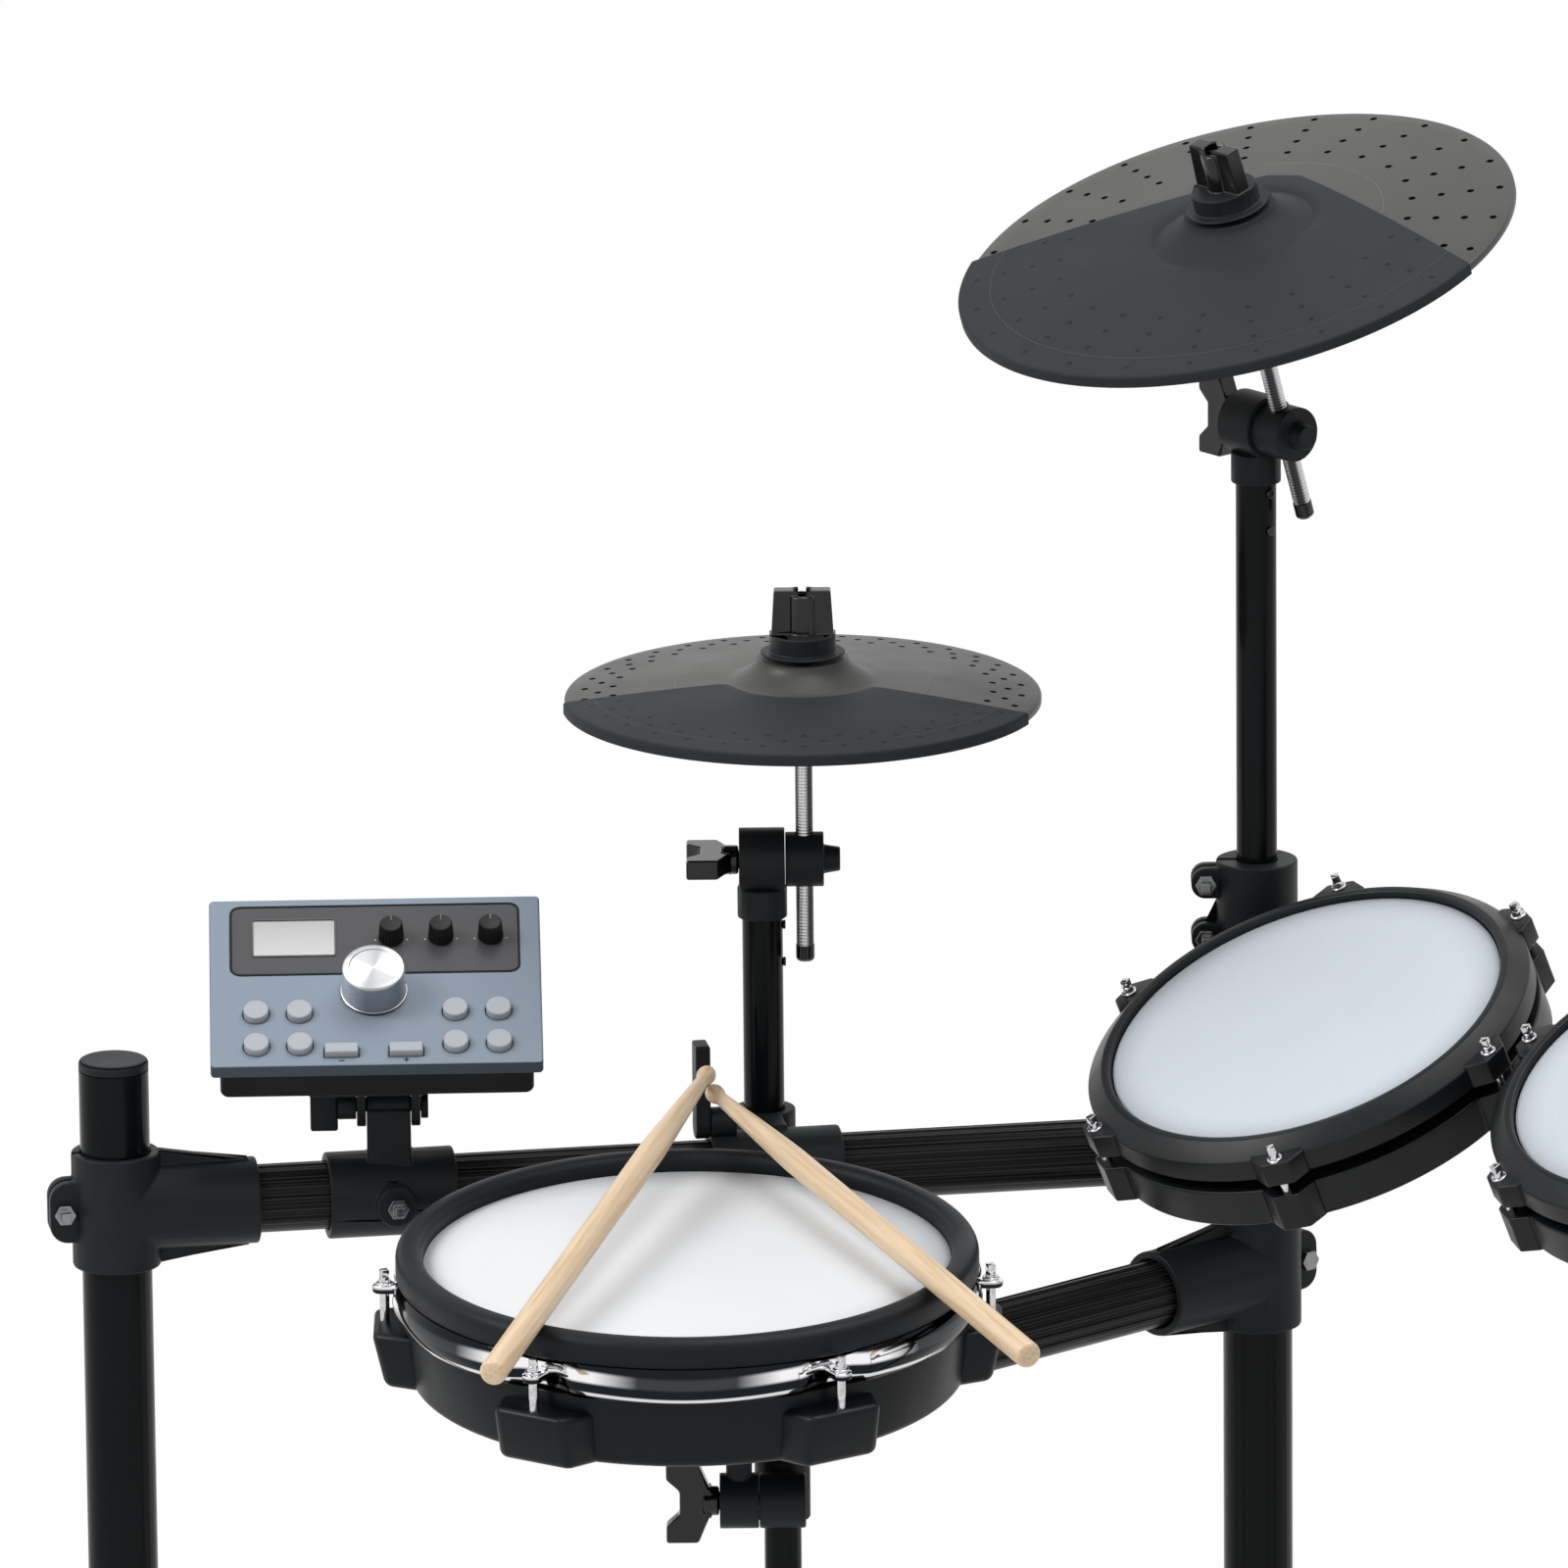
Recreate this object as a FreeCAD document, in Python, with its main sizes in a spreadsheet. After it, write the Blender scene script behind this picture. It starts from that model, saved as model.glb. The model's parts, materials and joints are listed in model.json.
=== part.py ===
import FreeCAD, Part
import math
import os

import Sketcher
from FreeCAD import Placement, Rotation, Vector

# Electronic drum kit: a four-post tube rack that carries a sound module, three cymbal pads,
# a snare pad, three tom pads and a pair of sticks.
# +X is the drummer's right, +Y points away from the drummer and +Z is up, in millimetres.
# The origin lies on the floor under the middle of the kit.

SIZES = {
    # Rack layout
    "front_post_y": 258.2, "side_bar_span": 631, "side_bar_angle": 45,
    "side_bar_height": 640, "front_bar_rise": 68, "snare_bar_drop": 70, "snare_bar_reach": 344,
    "snare_bar_angle": 256.3, "side_post_rise": 78, "front_post_rise": 130,
    # Tubes
    "post_radius": 19.05, "post_wall": 1.6, "rib_height": 0.8, "rib_width": 2.4, "rib_arc": 230,
    "rib_count": 13, "leg_radius": 10, "leg_wall": 1.5, "mast_radius": 11.1, "mast_wall": 1.5,
    "rod_radius": 4.75,
    # Fits
    "fit_gap": 0.05, "touch_gap": 0.3, "overrun": 2,
    # Feet and caps
    "foot_radius": 27, "foot_top_wall": 3.5, "foot_height": 42, "foot_floor": 8, "cap_height": 6,
    "cap_edge": 1.5, "cap_plug_depth": 14, "cap_plug_wall": 2.5,
    # Post clamps, with a ring on the post and a sleeve for the bar
    "clamp_wall": 5, "clamp_height": 64, "sleeve_wall": 4.6, "sleeve_reach": 77, "bar_seat": 26,
    "web_thickness": 6, "ear_reach": 37, "ear_thickness": 16, "ear_height": 34, "slit_width": 3,
    "bolt_radius": 3, "bolt_head_radius": 6, "bolt_head_height": 4, "bolt_square": 5,
    "bolt_square_height": 6, "bolt_inset": 8,
    # Mast sleeves on the front posts
    "mast_sleeve_wall": 3.3, "mast_sleeve_height": 63, "mast_sleeve_ear_reach": 36,
    "mast_sleeve_ear_height": 17, "mast_sleeve_top_ear": 12, "mast_sleeve_low_ear": 43,
    "mast_sleeve_ear_angle": 216,
    # Clamps round the bars
    "bar_clamp_length": 70, "bar_clamp_boss_radius": 11, "bar_clamp_boss_reach": 31,
    "module_clamp_share": 0.238, "hihat_clamp_share": 0.575, "hihat_clamp_length": 72,
    "hihat_mast_back": 36, "mast_holder_wall": 6, "mast_holder_height": 52, "mast_holder_web": 14,
    "lever_pivot_rise": 29, "lever_boss_radius": 8, "lever_width": 15, "lever_thickness": 8,
    "lever_length": 46, "lever_bolt_radius": 3, "lever_ear_radius": 9, "lever_ear_length": 14,
    # Tilters at the mast tops
    "tilter_radius": 17.5, "tilter_length": 25, "tilter_collar_radius": 13.6,
    "tilter_collar_drop": 32, "mast_top_drop": 19, "tilter_head_radius": 15,
    "tilter_head_length": 21, "tilter_knob_radius": 8, "tilter_knob_length": 9,
    "wing_stem_radius": 4, "wing_boss_radius": 8, "wing_boss_length": 9, "wing_span": 45,
    "wing_length": 24, "wing_thickness": 11, "wing_root": 13, "hihat_wing_turn": 90, "tube_screw_radius": 2.6,
    "tube_screw_height": 1.6, "tube_screw_first": 5, "tube_screw_pitch": 21,
    # Cymbal pads
    "hihat_radius": 130, "crash_radius": 153, "bell_radius": 43, "bell_top_radius": 25,
    "bell_rise": 12, "bow_rise": 9, "rim_drop": 7,
    "rim_wall": 5, "cymbal_thickness": 5, "cymbal_hole": 8, "rubber_thickness": 1.6,
    "hihat_rubber_arc": 154, "crash_rubber_arc": 177, "hihat_rubber_angle": 306,
    "crash_rubber_angle": 270, "rock_gap": 0.8, "rock_cone": 1.6, "seat_radius": 8,
    "seat_height": 14,
    "cup_flange_radius": 23, "cup_flange_height": 1.5, "cup_radius": 18, "cup_height": 13,
    "nut_wing_span": 31, "nut_wing_foot": 34, "nut_wing_height": 25, "nut_wing_thickness": 9,
    "nut_tube_radius": 8, "rod_tip_height": 3,
    "hihat_tilter_rise": 167, "hihat_rim_rise": 93, "hihat_rod_drop": 57, "hihat_axis_angle": 36,
    "hihat_mast_drop": 45, "crash_tilter_rise": 408, "crash_rim_rise": 115, "crash_rod_drop": 52,
    "crash_axis_angle": 346, "crash_tilt": 17, "crash_mast_drop": 330,
    # Snare pad
    "snare_side": -49.7, "snare_forward": -37.9, "snare_lift": 140.8, "snare_tilt": 3, "snare_turn": 36,
    "snare_pivot_out": 26, "snare_shell_taper": 3, "sensor_radius": 22, "sensor_tip_radius": 12,
    "snare_head_radius": 137, "snare_head_thickness": 1.5, "snare_rim_width": 19,
    "snare_rim_rise": 11, "snare_rim_depth": 9, "snare_rim_edge": 8, "snare_hoop_depth": 14,
    "snare_shell_radius": 152, "snare_shell_wall": 4, "snare_depth": 62.5,
    "snare_floor": 4, "snare_lugs": 6, "snare_lug_width": 41, "snare_lug_face": 30,
    "snare_lug_root": 140, "snare_lug_reach": 169, "snare_ear_radius": 8, "snare_hoop_bulge": 3,
    "snare_rod_radius": 3, "snare_rod_reach": 162, "snare_rod_length": 18,
    "snare_tilter_drop": 123, "snare_pivot_rod_radius": 7, "snare_flange_radius": 17,
    "snare_flange_height": 4, "snare_screw_head_radius": 5, "snare_screw_head_height": 5,
    # Tom pads
    "tom_head_radius": 110, "tom_head_thickness": 1.5, "tom_hoop_width": 15, "tom_hoop_rise": 5,
    "tom_hoop_depth": 15, "tom_hoop_chamfer": 6, "tom_gap": 7, "tom_frame_depth": 22,
    "tom_wall": 4, "tom_lugs": 6, "tom_lug_turn": 8.5, "tom_lug_reach": 134, "tom_lug_width": 30,
    "tom_lug_face": 15, "tom_lug_shoulder": 125,
    "tom_screw_radius": 3, "tom_screw_head_radius": 4, "tom_screw_head_height": 3,
    "tom_screw_inset": 5, "tom_tilt": 24.1, "tom_turn": 255, "tom_out": 130, "tom_rise": 52,
    "tom_left_margin": 152, "tom_right_margin": 130, "tom_apart": 10, "tom_second_lift": 22.6,
    "tom_second_out": 19.7,
    "tom_third_share": 0.5, "tom_clamp_length": 50, "tom_third_turn": 225, "tom_arm_radius": 8,
    "tom_pivot_radius": 13, "tom_pivot_length": 20, "tom_pivot_drop": 26, "tom_ear_thickness": 6,
    "tom_ear_width": 22,
    "tom_pin_radius": 4,
    # Sound module
    "module_width": 180, "module_depth": 124, "module_side": -6, "module_face_lift": 64.7,
    "module_face_back": 31.2,
    "module_tilt": 31, "module_turn": 37.5, "module_top_height": 9, "module_base_height": 21,
    "module_base_inset": 5, "module_wall": 3, "module_corner": 9, "panel_width": 156,
    "panel_depth": 50, "panel_thickness": 1.2, "panel_corner": 5, "panel_back": 31, "screen_width": 45,
    "screen_depth": 27, "screen_thickness": 1, "screen_x": -44, "screen_back": 2, "board_margin": 6,
    "board_thickness": 1.6, "board_lift": 8, "board_post_radius": 3, "dial_radius": 18,
    "dial_height": 20, "dial_x": -1, "dial_y": -8, "dial_taper": 1.2, "dial_shaft_radius": 3,
    "knob_radius": 7, "knob_height": 12,
    "knob_first_x": 9, "knob_pitch": 27, "knob_y": 32, "knob_taper": 0.8,
    "button_radius": 6.8, "button_height": 4, "button_stem": 2, "button_left_x": -65, "button_right_x": 43,
    "button_pitch_x": 23.5, "button_high_y": -23, "button_low_y": -47, "bar_button_width": 18,
    "bar_button_depth": 7, "bar_button_y": -52, "bar_button_first_x": -19, "bar_button_pitch": 35,
    "bracket_width": 62, "bracket_depth": 70, "bracket_thickness": 4, "bracket_cheek": 5,
    "neck_width": 24, "neck_depth": 26, "pivot_rise": 50, "pivot_radius": 12,
    "pivot_pin_radius": 4, "module_lever_length": 22, "module_lever_width": 8, "module_lever_boss": 10,
    "module_lever_hub": 8, "module_lever_grip": 15, "bracket_shift": 12, "bracket_back": 12,
    # Sticks
    "stick_length": 406, "stick_radius": 7.2, "stick_butt_edge": 3, "stick_taper": 110,
    "stick_neck_radius": 3.6, "stick_bead_radius": 5.2, "stick_bead_length": 13,
    "stick_tip_side": -35, "stick_tip_depth": -44, "stick_tip_rise": 70.3, "stick_tip_step": 10.8,
    "stick_a_side": -114, "stick_a_depth": -386, "stick_b_side": 168, "stick_b_depth": -368,
    "stick_a_drop": 51.9, "stick_b_drop": 40, "view_angle": 36,
}

doc = FreeCAD.newDocument("drum_kit")
sheet = doc.addObject("Spreadsheet::Sheet", "sizes")
for row, (alias, number) in enumerate(SIZES.items(), start=1):
    sheet.set(f"A{row}", alias)
    sheet.set(f"B{row}", str(number))
    sheet.setAlias(f"B{row}", alias)
doc.recompute()


class Size:
    """A value with the sheet expression that it came from, so that sums stay bound to the cells."""

    def __init__(self, value, text):
        self.value = float(value)
        self.text = text

    def __float__(self):
        return self.value

    def __neg__(self):
        return Size(-self.value, f"(-1 * {self.text})")

    def __add__(self, other):
        other = as_size(other)
        return Size(self.value + other.value, f"({self.text} + {other.text})")

    def __sub__(self, other):
        other = as_size(other)
        return Size(self.value - other.value, f"({self.text} - {other.text})")

    def __mul__(self, share):
        share = as_size(share)
        return Size(self.value * share.value, f"({self.text} * {share.text})")

    def __truediv__(self, share):
        share = as_size(share)
        return Size(self.value / share.value, f"({self.text} / {share.text})")


def as_size(term):
    """Give a plain number or a Size as a Size."""
    return term if isinstance(term, Size) else Size(term, repr(float(term)))


class Sheet:
    """The sheet's cells as Size values, by alias."""

    def __getattr__(self, alias):
        return Size(sheet.get(alias), f"sizes.{alias}")


s = Sheet()
ZERO = Size(0, "0")
NODES = []


def bound(item, **sizes):
    """Set properties of an object and bind each to its expression."""
    for name, size in sizes.items():
        setattr(item, name, size.value)
        item.setExpression(name, size.text)
    return item


def spin(degrees):
    return Rotation(Vector(0, 0, 1), float(degrees))


def tip(degrees):
    return Rotation(Vector(1, 0, 0), float(degrees))


ALONG_X = Rotation(Vector(0, 0, 1), Vector(1, 0, 0))
ALONG_Y = Rotation(Vector(0, 0, 1), Vector(0, 1, 0))
TO_DRUMMER = Rotation(Vector(0, 0, 1), Vector(0, -1, 0))
UPSIDE_DOWN = Rotation(Vector(1, 0, 0), 180)


def at(x=0, y=0, z=0, turn=None):
    """A placement at x, y, z with an optional rotation."""
    return Placement(Vector(float(x), float(y), float(z)), turn or Rotation())


def rod(name, radius, length, place=None):
    """A round bar along +Z of its placement."""
    item = bound(doc.addObject("Part::Cylinder", name), Radius=radius, Height=length)
    item.Placement = place or at()
    return item


def cone(name, low, high, length, place=None):
    item = bound(doc.addObject("Part::Cone", name), Radius1=low, Radius2=high, Height=length)
    item.Placement = place or at()
    return item


def hexagon(name, radius, length, place=None):
    """A six-sided bar along +Z of its placement."""
    item = bound(doc.addObject("Part::Prism", name), Circumradius=radius, Height=length)
    item.Polygon = 6
    item.Placement = place or at()
    return item


def block(name, x, y, z, place=None):
    """A box that stands on its placement, centred on it in X and Y."""
    item = bound(doc.addObject("Part::Box", name), Length=x, Width=y, Height=z)
    item.Placement = (place or at()).multiply(at(-x / 2, -y / 2))
    return item


def fuse(name, *pieces):
    item = doc.addObject("Part::MultiFuse", name)
    item.Shapes = list(pieces)
    item.Refine = True
    return item


def cut(name, base, *tools):
    item = doc.addObject("Part::Cut", name)
    item.Base = base
    item.Tool = tools[0] if len(tools) == 1 else fuse(name + "_cuts", *tools)
    item.Refine = True
    return item


def tube(name, outer, inner, length, place=None):
    item = cut(name, rod(name + "_outside", outer, length), rod(name + "_inside", inner, length))
    item.Placement = place or at()
    return item


def copies(item, places):
    """Linked copies of one object, one for each placement."""
    links = []
    for place in places:
        link = doc.addObject("App::Link", item.Name + "_copy")
        link.LinkedObject = item
        link.LinkPlacement = place.multiply(item.Placement)
        links.append(link)
    return links


def node(label, *pieces, place=None):
    """Name a sub-part: one object, or several that are kept as separate solids."""
    item = pieces[0]
    if len(pieces) > 1:
        item = doc.addObject("Part::Compound", label)
        item.Links = list(pieces)
    if place is not None:
        item.Placement = place.multiply(item.Placement)
    item.Label = label
    NODES.append(item)
    return item


def origin_plane(body, role):
    return next(item for item in body.Origin.OriginFeatures if item.Role == role)


def arc_between(start, end, radius, side):
    """The minor arc from start to end whose centre lies left (side 1) or right (side -1)."""
    chord = end - start
    half = chord.Length / 2
    across = Vector(-chord.y, chord.x, 0).normalize()
    centre = (start + end) / 2 + across * side * math.sqrt(max(radius ** 2 - half ** 2, 0))
    first, last = (start, end) if side > 0 else (end, start)
    angles = [math.atan2(point.y - centre.y, point.x - centre.x) for point in (first, last)]
    return Part.ArcOfCircle(Part.Circle(centre, Vector(0, 0, 1), radius), *angles)


def outline(body, name, role, points):
    """A closed sketch through bound points: (across, up) ends a line, (across, up, radius, side) an arc."""
    sketch = body.newObject("Sketcher::SketchObject", name)
    sketch.AttachmentSupport = (origin_plane(body, role), [""])
    sketch.MapMode = "FlatFace"
    ends = [Vector(float(point[0]), float(point[1]), 0) for point in points]
    starts = ends[-1:] + ends[:-1]
    tails = []
    for index, point in enumerate(points):
        if len(point) == 2:
            sketch.addGeometry(Part.LineSegment(starts[index], ends[index]), False)
            tails.append((1, 2))
            continue
        radius, side = point[2], point[3]
        sketch.addGeometry(arc_between(starts[index], ends[index], float(radius), side), False)
        tails.append((1, 2) if side > 0 else (2, 1))
        number = sketch.addConstraint(Sketcher.Constraint("Radius", index, float(radius)))
        sketch.setExpression(f"Constraints[{number}]", radius.text)
    for index, point in enumerate(points):
        following = (index + 1) % len(points)
        corner = (index, tails[index][1])
        sketch.addConstraint(Sketcher.Constraint("Coincident", *corner, following, tails[following][0]))
        for kind, axis, size in (("DistanceX", -2, point[0]), ("DistanceY", -1, point[1])):
            if size.value == 0:
                sketch.addConstraint(Sketcher.Constraint("PointOnObject", *corner, axis))
                continue
            number = sketch.addConstraint(Sketcher.Constraint(kind, -1, 1, *corner, size.value))
            sketch.setExpression(f"Constraints[{number}]", size.text)
    return sketch


def turned(name, points, arc=None, place=None):
    """A piece turned about Z from an outline of (radius, height) points."""
    body = doc.addObject("PartDesign::Body", name)
    sketch = outline(body, name + "_outline", "XZ_Plane", points)
    feature = body.newObject("PartDesign::Revolution", name + "_turn")
    feature.Profile = sketch
    feature.ReferenceAxis = (sketch, ["V_Axis"])
    feature.Angle = 360
    if arc is not None:
        bound(feature, Angle=arc)
    body.Placement = place or at()
    return body


def padded(name, points, height, place=None):
    """A plate of an outline in X and Y, thickened along +Z."""
    body = doc.addObject("PartDesign::Body", name)
    sketch = outline(body, name + "_outline", "XY_Plane", points)
    feature = body.newObject("PartDesign::Pad", name + "_pad")
    feature.Profile = sketch
    bound(feature, Length=height)
    body.Placement = place or at()
    return body


# Layout of the rack: post axes in plan, and points along its bars

def along(start, angle, distance):
    """The point at a distance from start in a horizontal direction."""
    turn = math.radians(float(angle))
    return start + Vector(math.cos(turn), math.sin(turn), 0) * float(distance)


def raised(point, height):
    return point + Vector(0, 0, float(height))


def mirrored(point):
    return Vector(-point.x, point.y, point.z)


HALF_TURN = 180
QUARTER_TURN = 90
side_angle = float(s.side_bar_angle)
tom_spacing = s.tom_lug_reach * 2 + s.tom_apart
rack_width = s.tom_left_margin + tom_spacing + s.tom_right_margin
front_left = Vector(-float(rack_width) / 2, float(s.front_post_y), 0)
front_right = mirrored(front_left)
side_left = along(front_left, side_angle + HALF_TURN, s.side_bar_span)
side_right = mirrored(side_left)
snare_leg_foot = along(front_left, s.snare_bar_angle, s.snare_bar_reach)
front_bar_height = s.side_bar_height + s.front_bar_rise
snare_bar_height = s.side_bar_height - s.snare_bar_drop
side_post_top = s.side_bar_height + s.side_post_rise
front_post_top = s.side_bar_height + s.front_post_rise


def seat_fit(radius):
    """The bore for a tube or pin of a radius."""
    return radius + s.fit_gap


# Posts, snare leg, feet and caps

def upright(name, radius, wall, top, foot):
    length = top - s.foot_floor
    return tube(name, radius, radius - wall, length, at(foot.x, foot.y, s.foot_floor))


posts = [
    upright("side_post_left", s.post_radius, s.post_wall, side_post_top, side_left),
    upright("side_post_right", s.post_radius, s.post_wall, side_post_top, side_right),
    upright("front_post_left", s.post_radius, s.post_wall, front_post_top, front_left),
    upright("front_post_right", s.post_radius, s.post_wall, front_post_top, front_right),
]
leg_top = snare_bar_height + s.clamp_wall + s.leg_radius
posts.append(upright("snare_leg", s.leg_radius, s.leg_wall, leg_top, snare_leg_foot))
node("rack_posts", *posts)


def foot_form(name, radius):
    """A rubber cup, wider at the floor, with a socket for a tube."""
    return turned(name, [
        (ZERO, ZERO), (radius + s.foot_radius - s.post_radius, ZERO),
        (radius + s.foot_top_wall, s.foot_height), (seat_fit(radius), s.foot_height),
        (seat_fit(radius), s.foot_floor), (ZERO, s.foot_floor),
    ])


post_foot = foot_form("post_foot", s.post_radius)
leg_foot = foot_form("leg_foot", s.leg_radius)
foot_places = [at(post.x, post.y) for post in (side_left, side_right, front_left, front_right)]
leg_foot.Placement = at(snare_leg_foot.x, snare_leg_foot.y)
node("post_feet", *copies(post_foot, foot_places), leg_foot)

plug_radius = s.post_radius - s.post_wall - s.fit_gap
post_cap = turned("post_cap", [
    (ZERO, ZERO), (plug_radius - s.cap_plug_wall, ZERO), (plug_radius - s.cap_plug_wall, -s.cap_plug_depth),
    (plug_radius, -s.cap_plug_depth), (plug_radius, ZERO), (s.post_radius, ZERO),
    (s.post_radius, s.cap_height - s.cap_edge), (s.post_radius - s.cap_edge, s.cap_height),
    (ZERO, s.cap_height),
])
node("post_caps", *copies(post_cap, [at(post.x, post.y, side_post_top) for post in (side_left, side_right)]))


# Ribbed bars: a tube with raised ribs along the upper part, smooth underneath

def ribbed_bar(name, length, start, angle):
    body = doc.addObject("PartDesign::Body", name)
    inner = s.post_radius - s.rib_height
    section = body.newObject("Sketcher::SketchObject", name + "_section")
    section.AttachmentSupport = (origin_plane(body, "XY_Plane"), [""])
    section.MapMode = "FlatFace"
    for index, radius in enumerate((inner, inner - s.post_wall)):
        section.addGeometry(Part.Circle(Vector(), Vector(0, 0, 1), radius.value), False)
        section.addConstraint(Sketcher.Constraint("Coincident", index, 3, -1, 1))
        number = section.addConstraint(Sketcher.Constraint("Radius", index, radius.value))
        section.setExpression(f"Constraints[{number}]", radius.text)
    pad = body.newObject("PartDesign::Pad", name + "_tube")
    pad.Profile = section
    bound(pad, Length=length)
    half_rib = s.rib_width / 2
    rib_root = inner - s.post_wall / 2
    rib_outline = outline(body, name + "_rib_outline", "XY_Plane", [
        (rib_root, -half_rib), (s.post_radius, -half_rib), (s.post_radius, half_rib), (rib_root, half_rib),
    ])
    rib = body.newObject("PartDesign::Pad", name + "_rib")
    rib.Profile = rib_outline
    bound(rib, Length=length)
    pattern = body.newObject("PartDesign::PolarPattern", name + "_ribs")
    pattern.Originals = [rib]
    pattern.Axis = (origin_plane(body, "Z_Axis"), [""])
    bound(pattern, Angle=s.rib_arc)
    pattern.Occurrences = int(float(s.rib_count))
    body.Tip = pattern
    # The ribs start at local +X, which ends up on top: half the arc is turned back.
    lay = spin(angle).multiply(ALONG_X).multiply(spin(HALF_TURN - float(s.rib_arc) / 2))
    body.Placement = at(start.x, start.y, start.z, lay)
    return body


side_bar_length = s.side_bar_span - s.bar_seat * 2
front_bar_length = rack_width - s.bar_seat * 2
leg_seat = s.leg_radius + s.bar_seat - s.post_radius
snare_bar_length = s.snare_bar_reach - s.bar_seat - leg_seat
left_end = raised(along(side_left, side_angle, s.bar_seat), s.side_bar_height)
right_end = raised(along(front_right, -side_angle, s.bar_seat), s.side_bar_height)
front_end = raised(along(front_left, 0, s.bar_seat), front_bar_height)
snare_end = raised(along(front_left, s.snare_bar_angle, s.bar_seat), snare_bar_height)
node("rack_bars",
     ribbed_bar("side_bar_left", side_bar_length, left_end, side_angle),
     ribbed_bar("side_bar_right", side_bar_length, right_end, -side_angle),
     ribbed_bar("front_bar", front_bar_length, front_end, 0))
node("snare_bar", ribbed_bar("snare_rail", snare_bar_length, snare_end, s.snare_bar_angle))


# Post clamps: a split ring with an ear and bolt, and a sleeve with webs for the bar's end

def ear_slit(name, bore, reach, height, low):
    """The cut that splits a ring through its ear, on the -X side."""
    length = reach + s.overrun - bore / 2
    return block(name, length, s.slit_width, height, at(-(bore / 2) - length / 2, 0, low))


def post_clamp(name, radius, height, reach, ear_height):
    ring = rod(name + "_ring", radius + s.clamp_wall, height, at(0, 0, -height / 2))
    sleeve_radius = s.post_radius + s.sleeve_wall
    sleeve = rod(name + "_sleeve", sleeve_radius, reach, at(turn=ALONG_X))
    web_end = reach - s.clamp_wall
    web = padded(name + "_web", [
        (ZERO, -height / 2), (radius + s.clamp_wall, -height / 2), (web_end, -sleeve_radius),
        (web_end, sleeve_radius), (radius + s.clamp_wall, height / 2), (ZERO, height / 2),
    ], s.web_thickness, at(0, s.web_thickness / 2, 0, tip(QUARTER_TURN)))
    ear_reach = radius + s.ear_reach - s.post_radius
    ear = block(name + "_ear", ear_reach, s.ear_thickness, ear_height, at(-ear_reach / 2, 0, -ear_height / 2))
    bore_start = radius + s.bar_seat - s.post_radius - s.fit_gap
    bolt_length = s.ear_thickness + s.overrun * 2
    return cut(
        name, fuse(name + "_solid", ring, sleeve, web, ear),
        rod(name + "_post_bore", seat_fit(radius), height + s.overrun * 2, at(0, 0, -height / 2 - s.overrun)),
        rod(name + "_bar_bore", seat_fit(s.post_radius), reach, at(bore_start, turn=ALONG_X)),
        ear_slit(name + "_slit", radius, ear_reach, height + s.overrun * 2, -height / 2 - s.overrun),
        rod(name + "_bolt_hole", seat_fit(s.bolt_radius), bolt_length,
            at(-(ear_reach - s.bolt_inset), -(bolt_length / 2), 0, ALONG_Y)))


t_clamp = post_clamp("t_clamp", s.post_radius, s.clamp_height, s.sleeve_reach, s.ear_height)
t_clamp_places = [
    at(post.x, post.y, height, spin(angle)) for post, height, angle in (
        (side_left, s.side_bar_height, side_angle),
        (side_right, s.side_bar_height, HALF_TURN - side_angle),
        (front_left, s.side_bar_height, HALF_TURN + side_angle),
        (front_right, s.side_bar_height, -side_angle),
        (front_left, front_bar_height, 0),
        (front_right, front_bar_height, HALF_TURN),
        (front_left, snare_bar_height, s.snare_bar_angle),
    )]
leg_clamp_height = (s.post_radius + s.sleeve_wall) * 2
leg_clamp_reach = s.sleeve_reach - s.post_radius + s.leg_radius
leg_clamp = post_clamp("leg_clamp", s.leg_radius, leg_clamp_height, leg_clamp_reach, s.ear_height)
leg_clamp_turn = spin(s.snare_bar_angle + HALF_TURN)
leg_clamp_place = at(snare_leg_foot.x, snare_leg_foot.y, snare_bar_height, leg_clamp_turn)
leg_clamp.Placement = leg_clamp_place
node("post_t_clamps", *copies(t_clamp, t_clamp_places), leg_clamp)


# Sleeves that hold the crash and ride masts on top of the front posts

mast_sleeve_radius = s.post_radius + s.mast_sleeve_wall
mast_sleeve_low = front_bar_height + s.clamp_height / 2
mast_sleeve_ears = [s.mast_sleeve_height - drop for drop in (s.mast_sleeve_top_ear, s.mast_sleeve_low_ear)]
mast_sleeve_pieces = [rod("mast_sleeve_wall", mast_sleeve_radius, s.mast_sleeve_height)]
mast_sleeve_cuts = [
    rod("mast_sleeve_post_bore", seat_fit(s.post_radius), front_post_top - mast_sleeve_low + s.overrun,
        at(0, 0, -s.overrun)),
    rod("mast_sleeve_mast_bore", seat_fit(s.mast_radius), s.mast_sleeve_height + s.overrun),
    ear_slit("mast_sleeve_slit", s.mast_radius, s.mast_sleeve_ear_reach,
             s.mast_sleeve_height + s.overrun * 2, -s.overrun),
]
for ear_rise in mast_sleeve_ears:
    mast_sleeve_pieces.append(block(
        "mast_sleeve_ear", s.mast_sleeve_ear_reach, s.ear_thickness, s.mast_sleeve_ear_height,
        at(-s.mast_sleeve_ear_reach / 2, 0, ear_rise - s.mast_sleeve_ear_height / 2)))
    mast_sleeve_cuts.append(rod(
        "mast_sleeve_bolt_hole", seat_fit(s.bolt_radius), s.ear_thickness + s.overrun * 2,
        at(-(s.mast_sleeve_ear_reach - s.bolt_inset), -(s.ear_thickness / 2 + s.overrun), ear_rise, ALONG_Y)))
mast_sleeve = cut("mast_sleeve", fuse("mast_sleeve_solid", *mast_sleeve_pieces), *mast_sleeve_cuts)
left_ear_turn = float(s.mast_sleeve_ear_angle) + HALF_TURN
mast_sleeve_places = [
    at(front_left.x, front_left.y, mast_sleeve_low, spin(left_ear_turn)),
    at(front_right.x, front_right.y, mast_sleeve_low, spin(HALF_TURN - left_ear_turn)),
]
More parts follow.
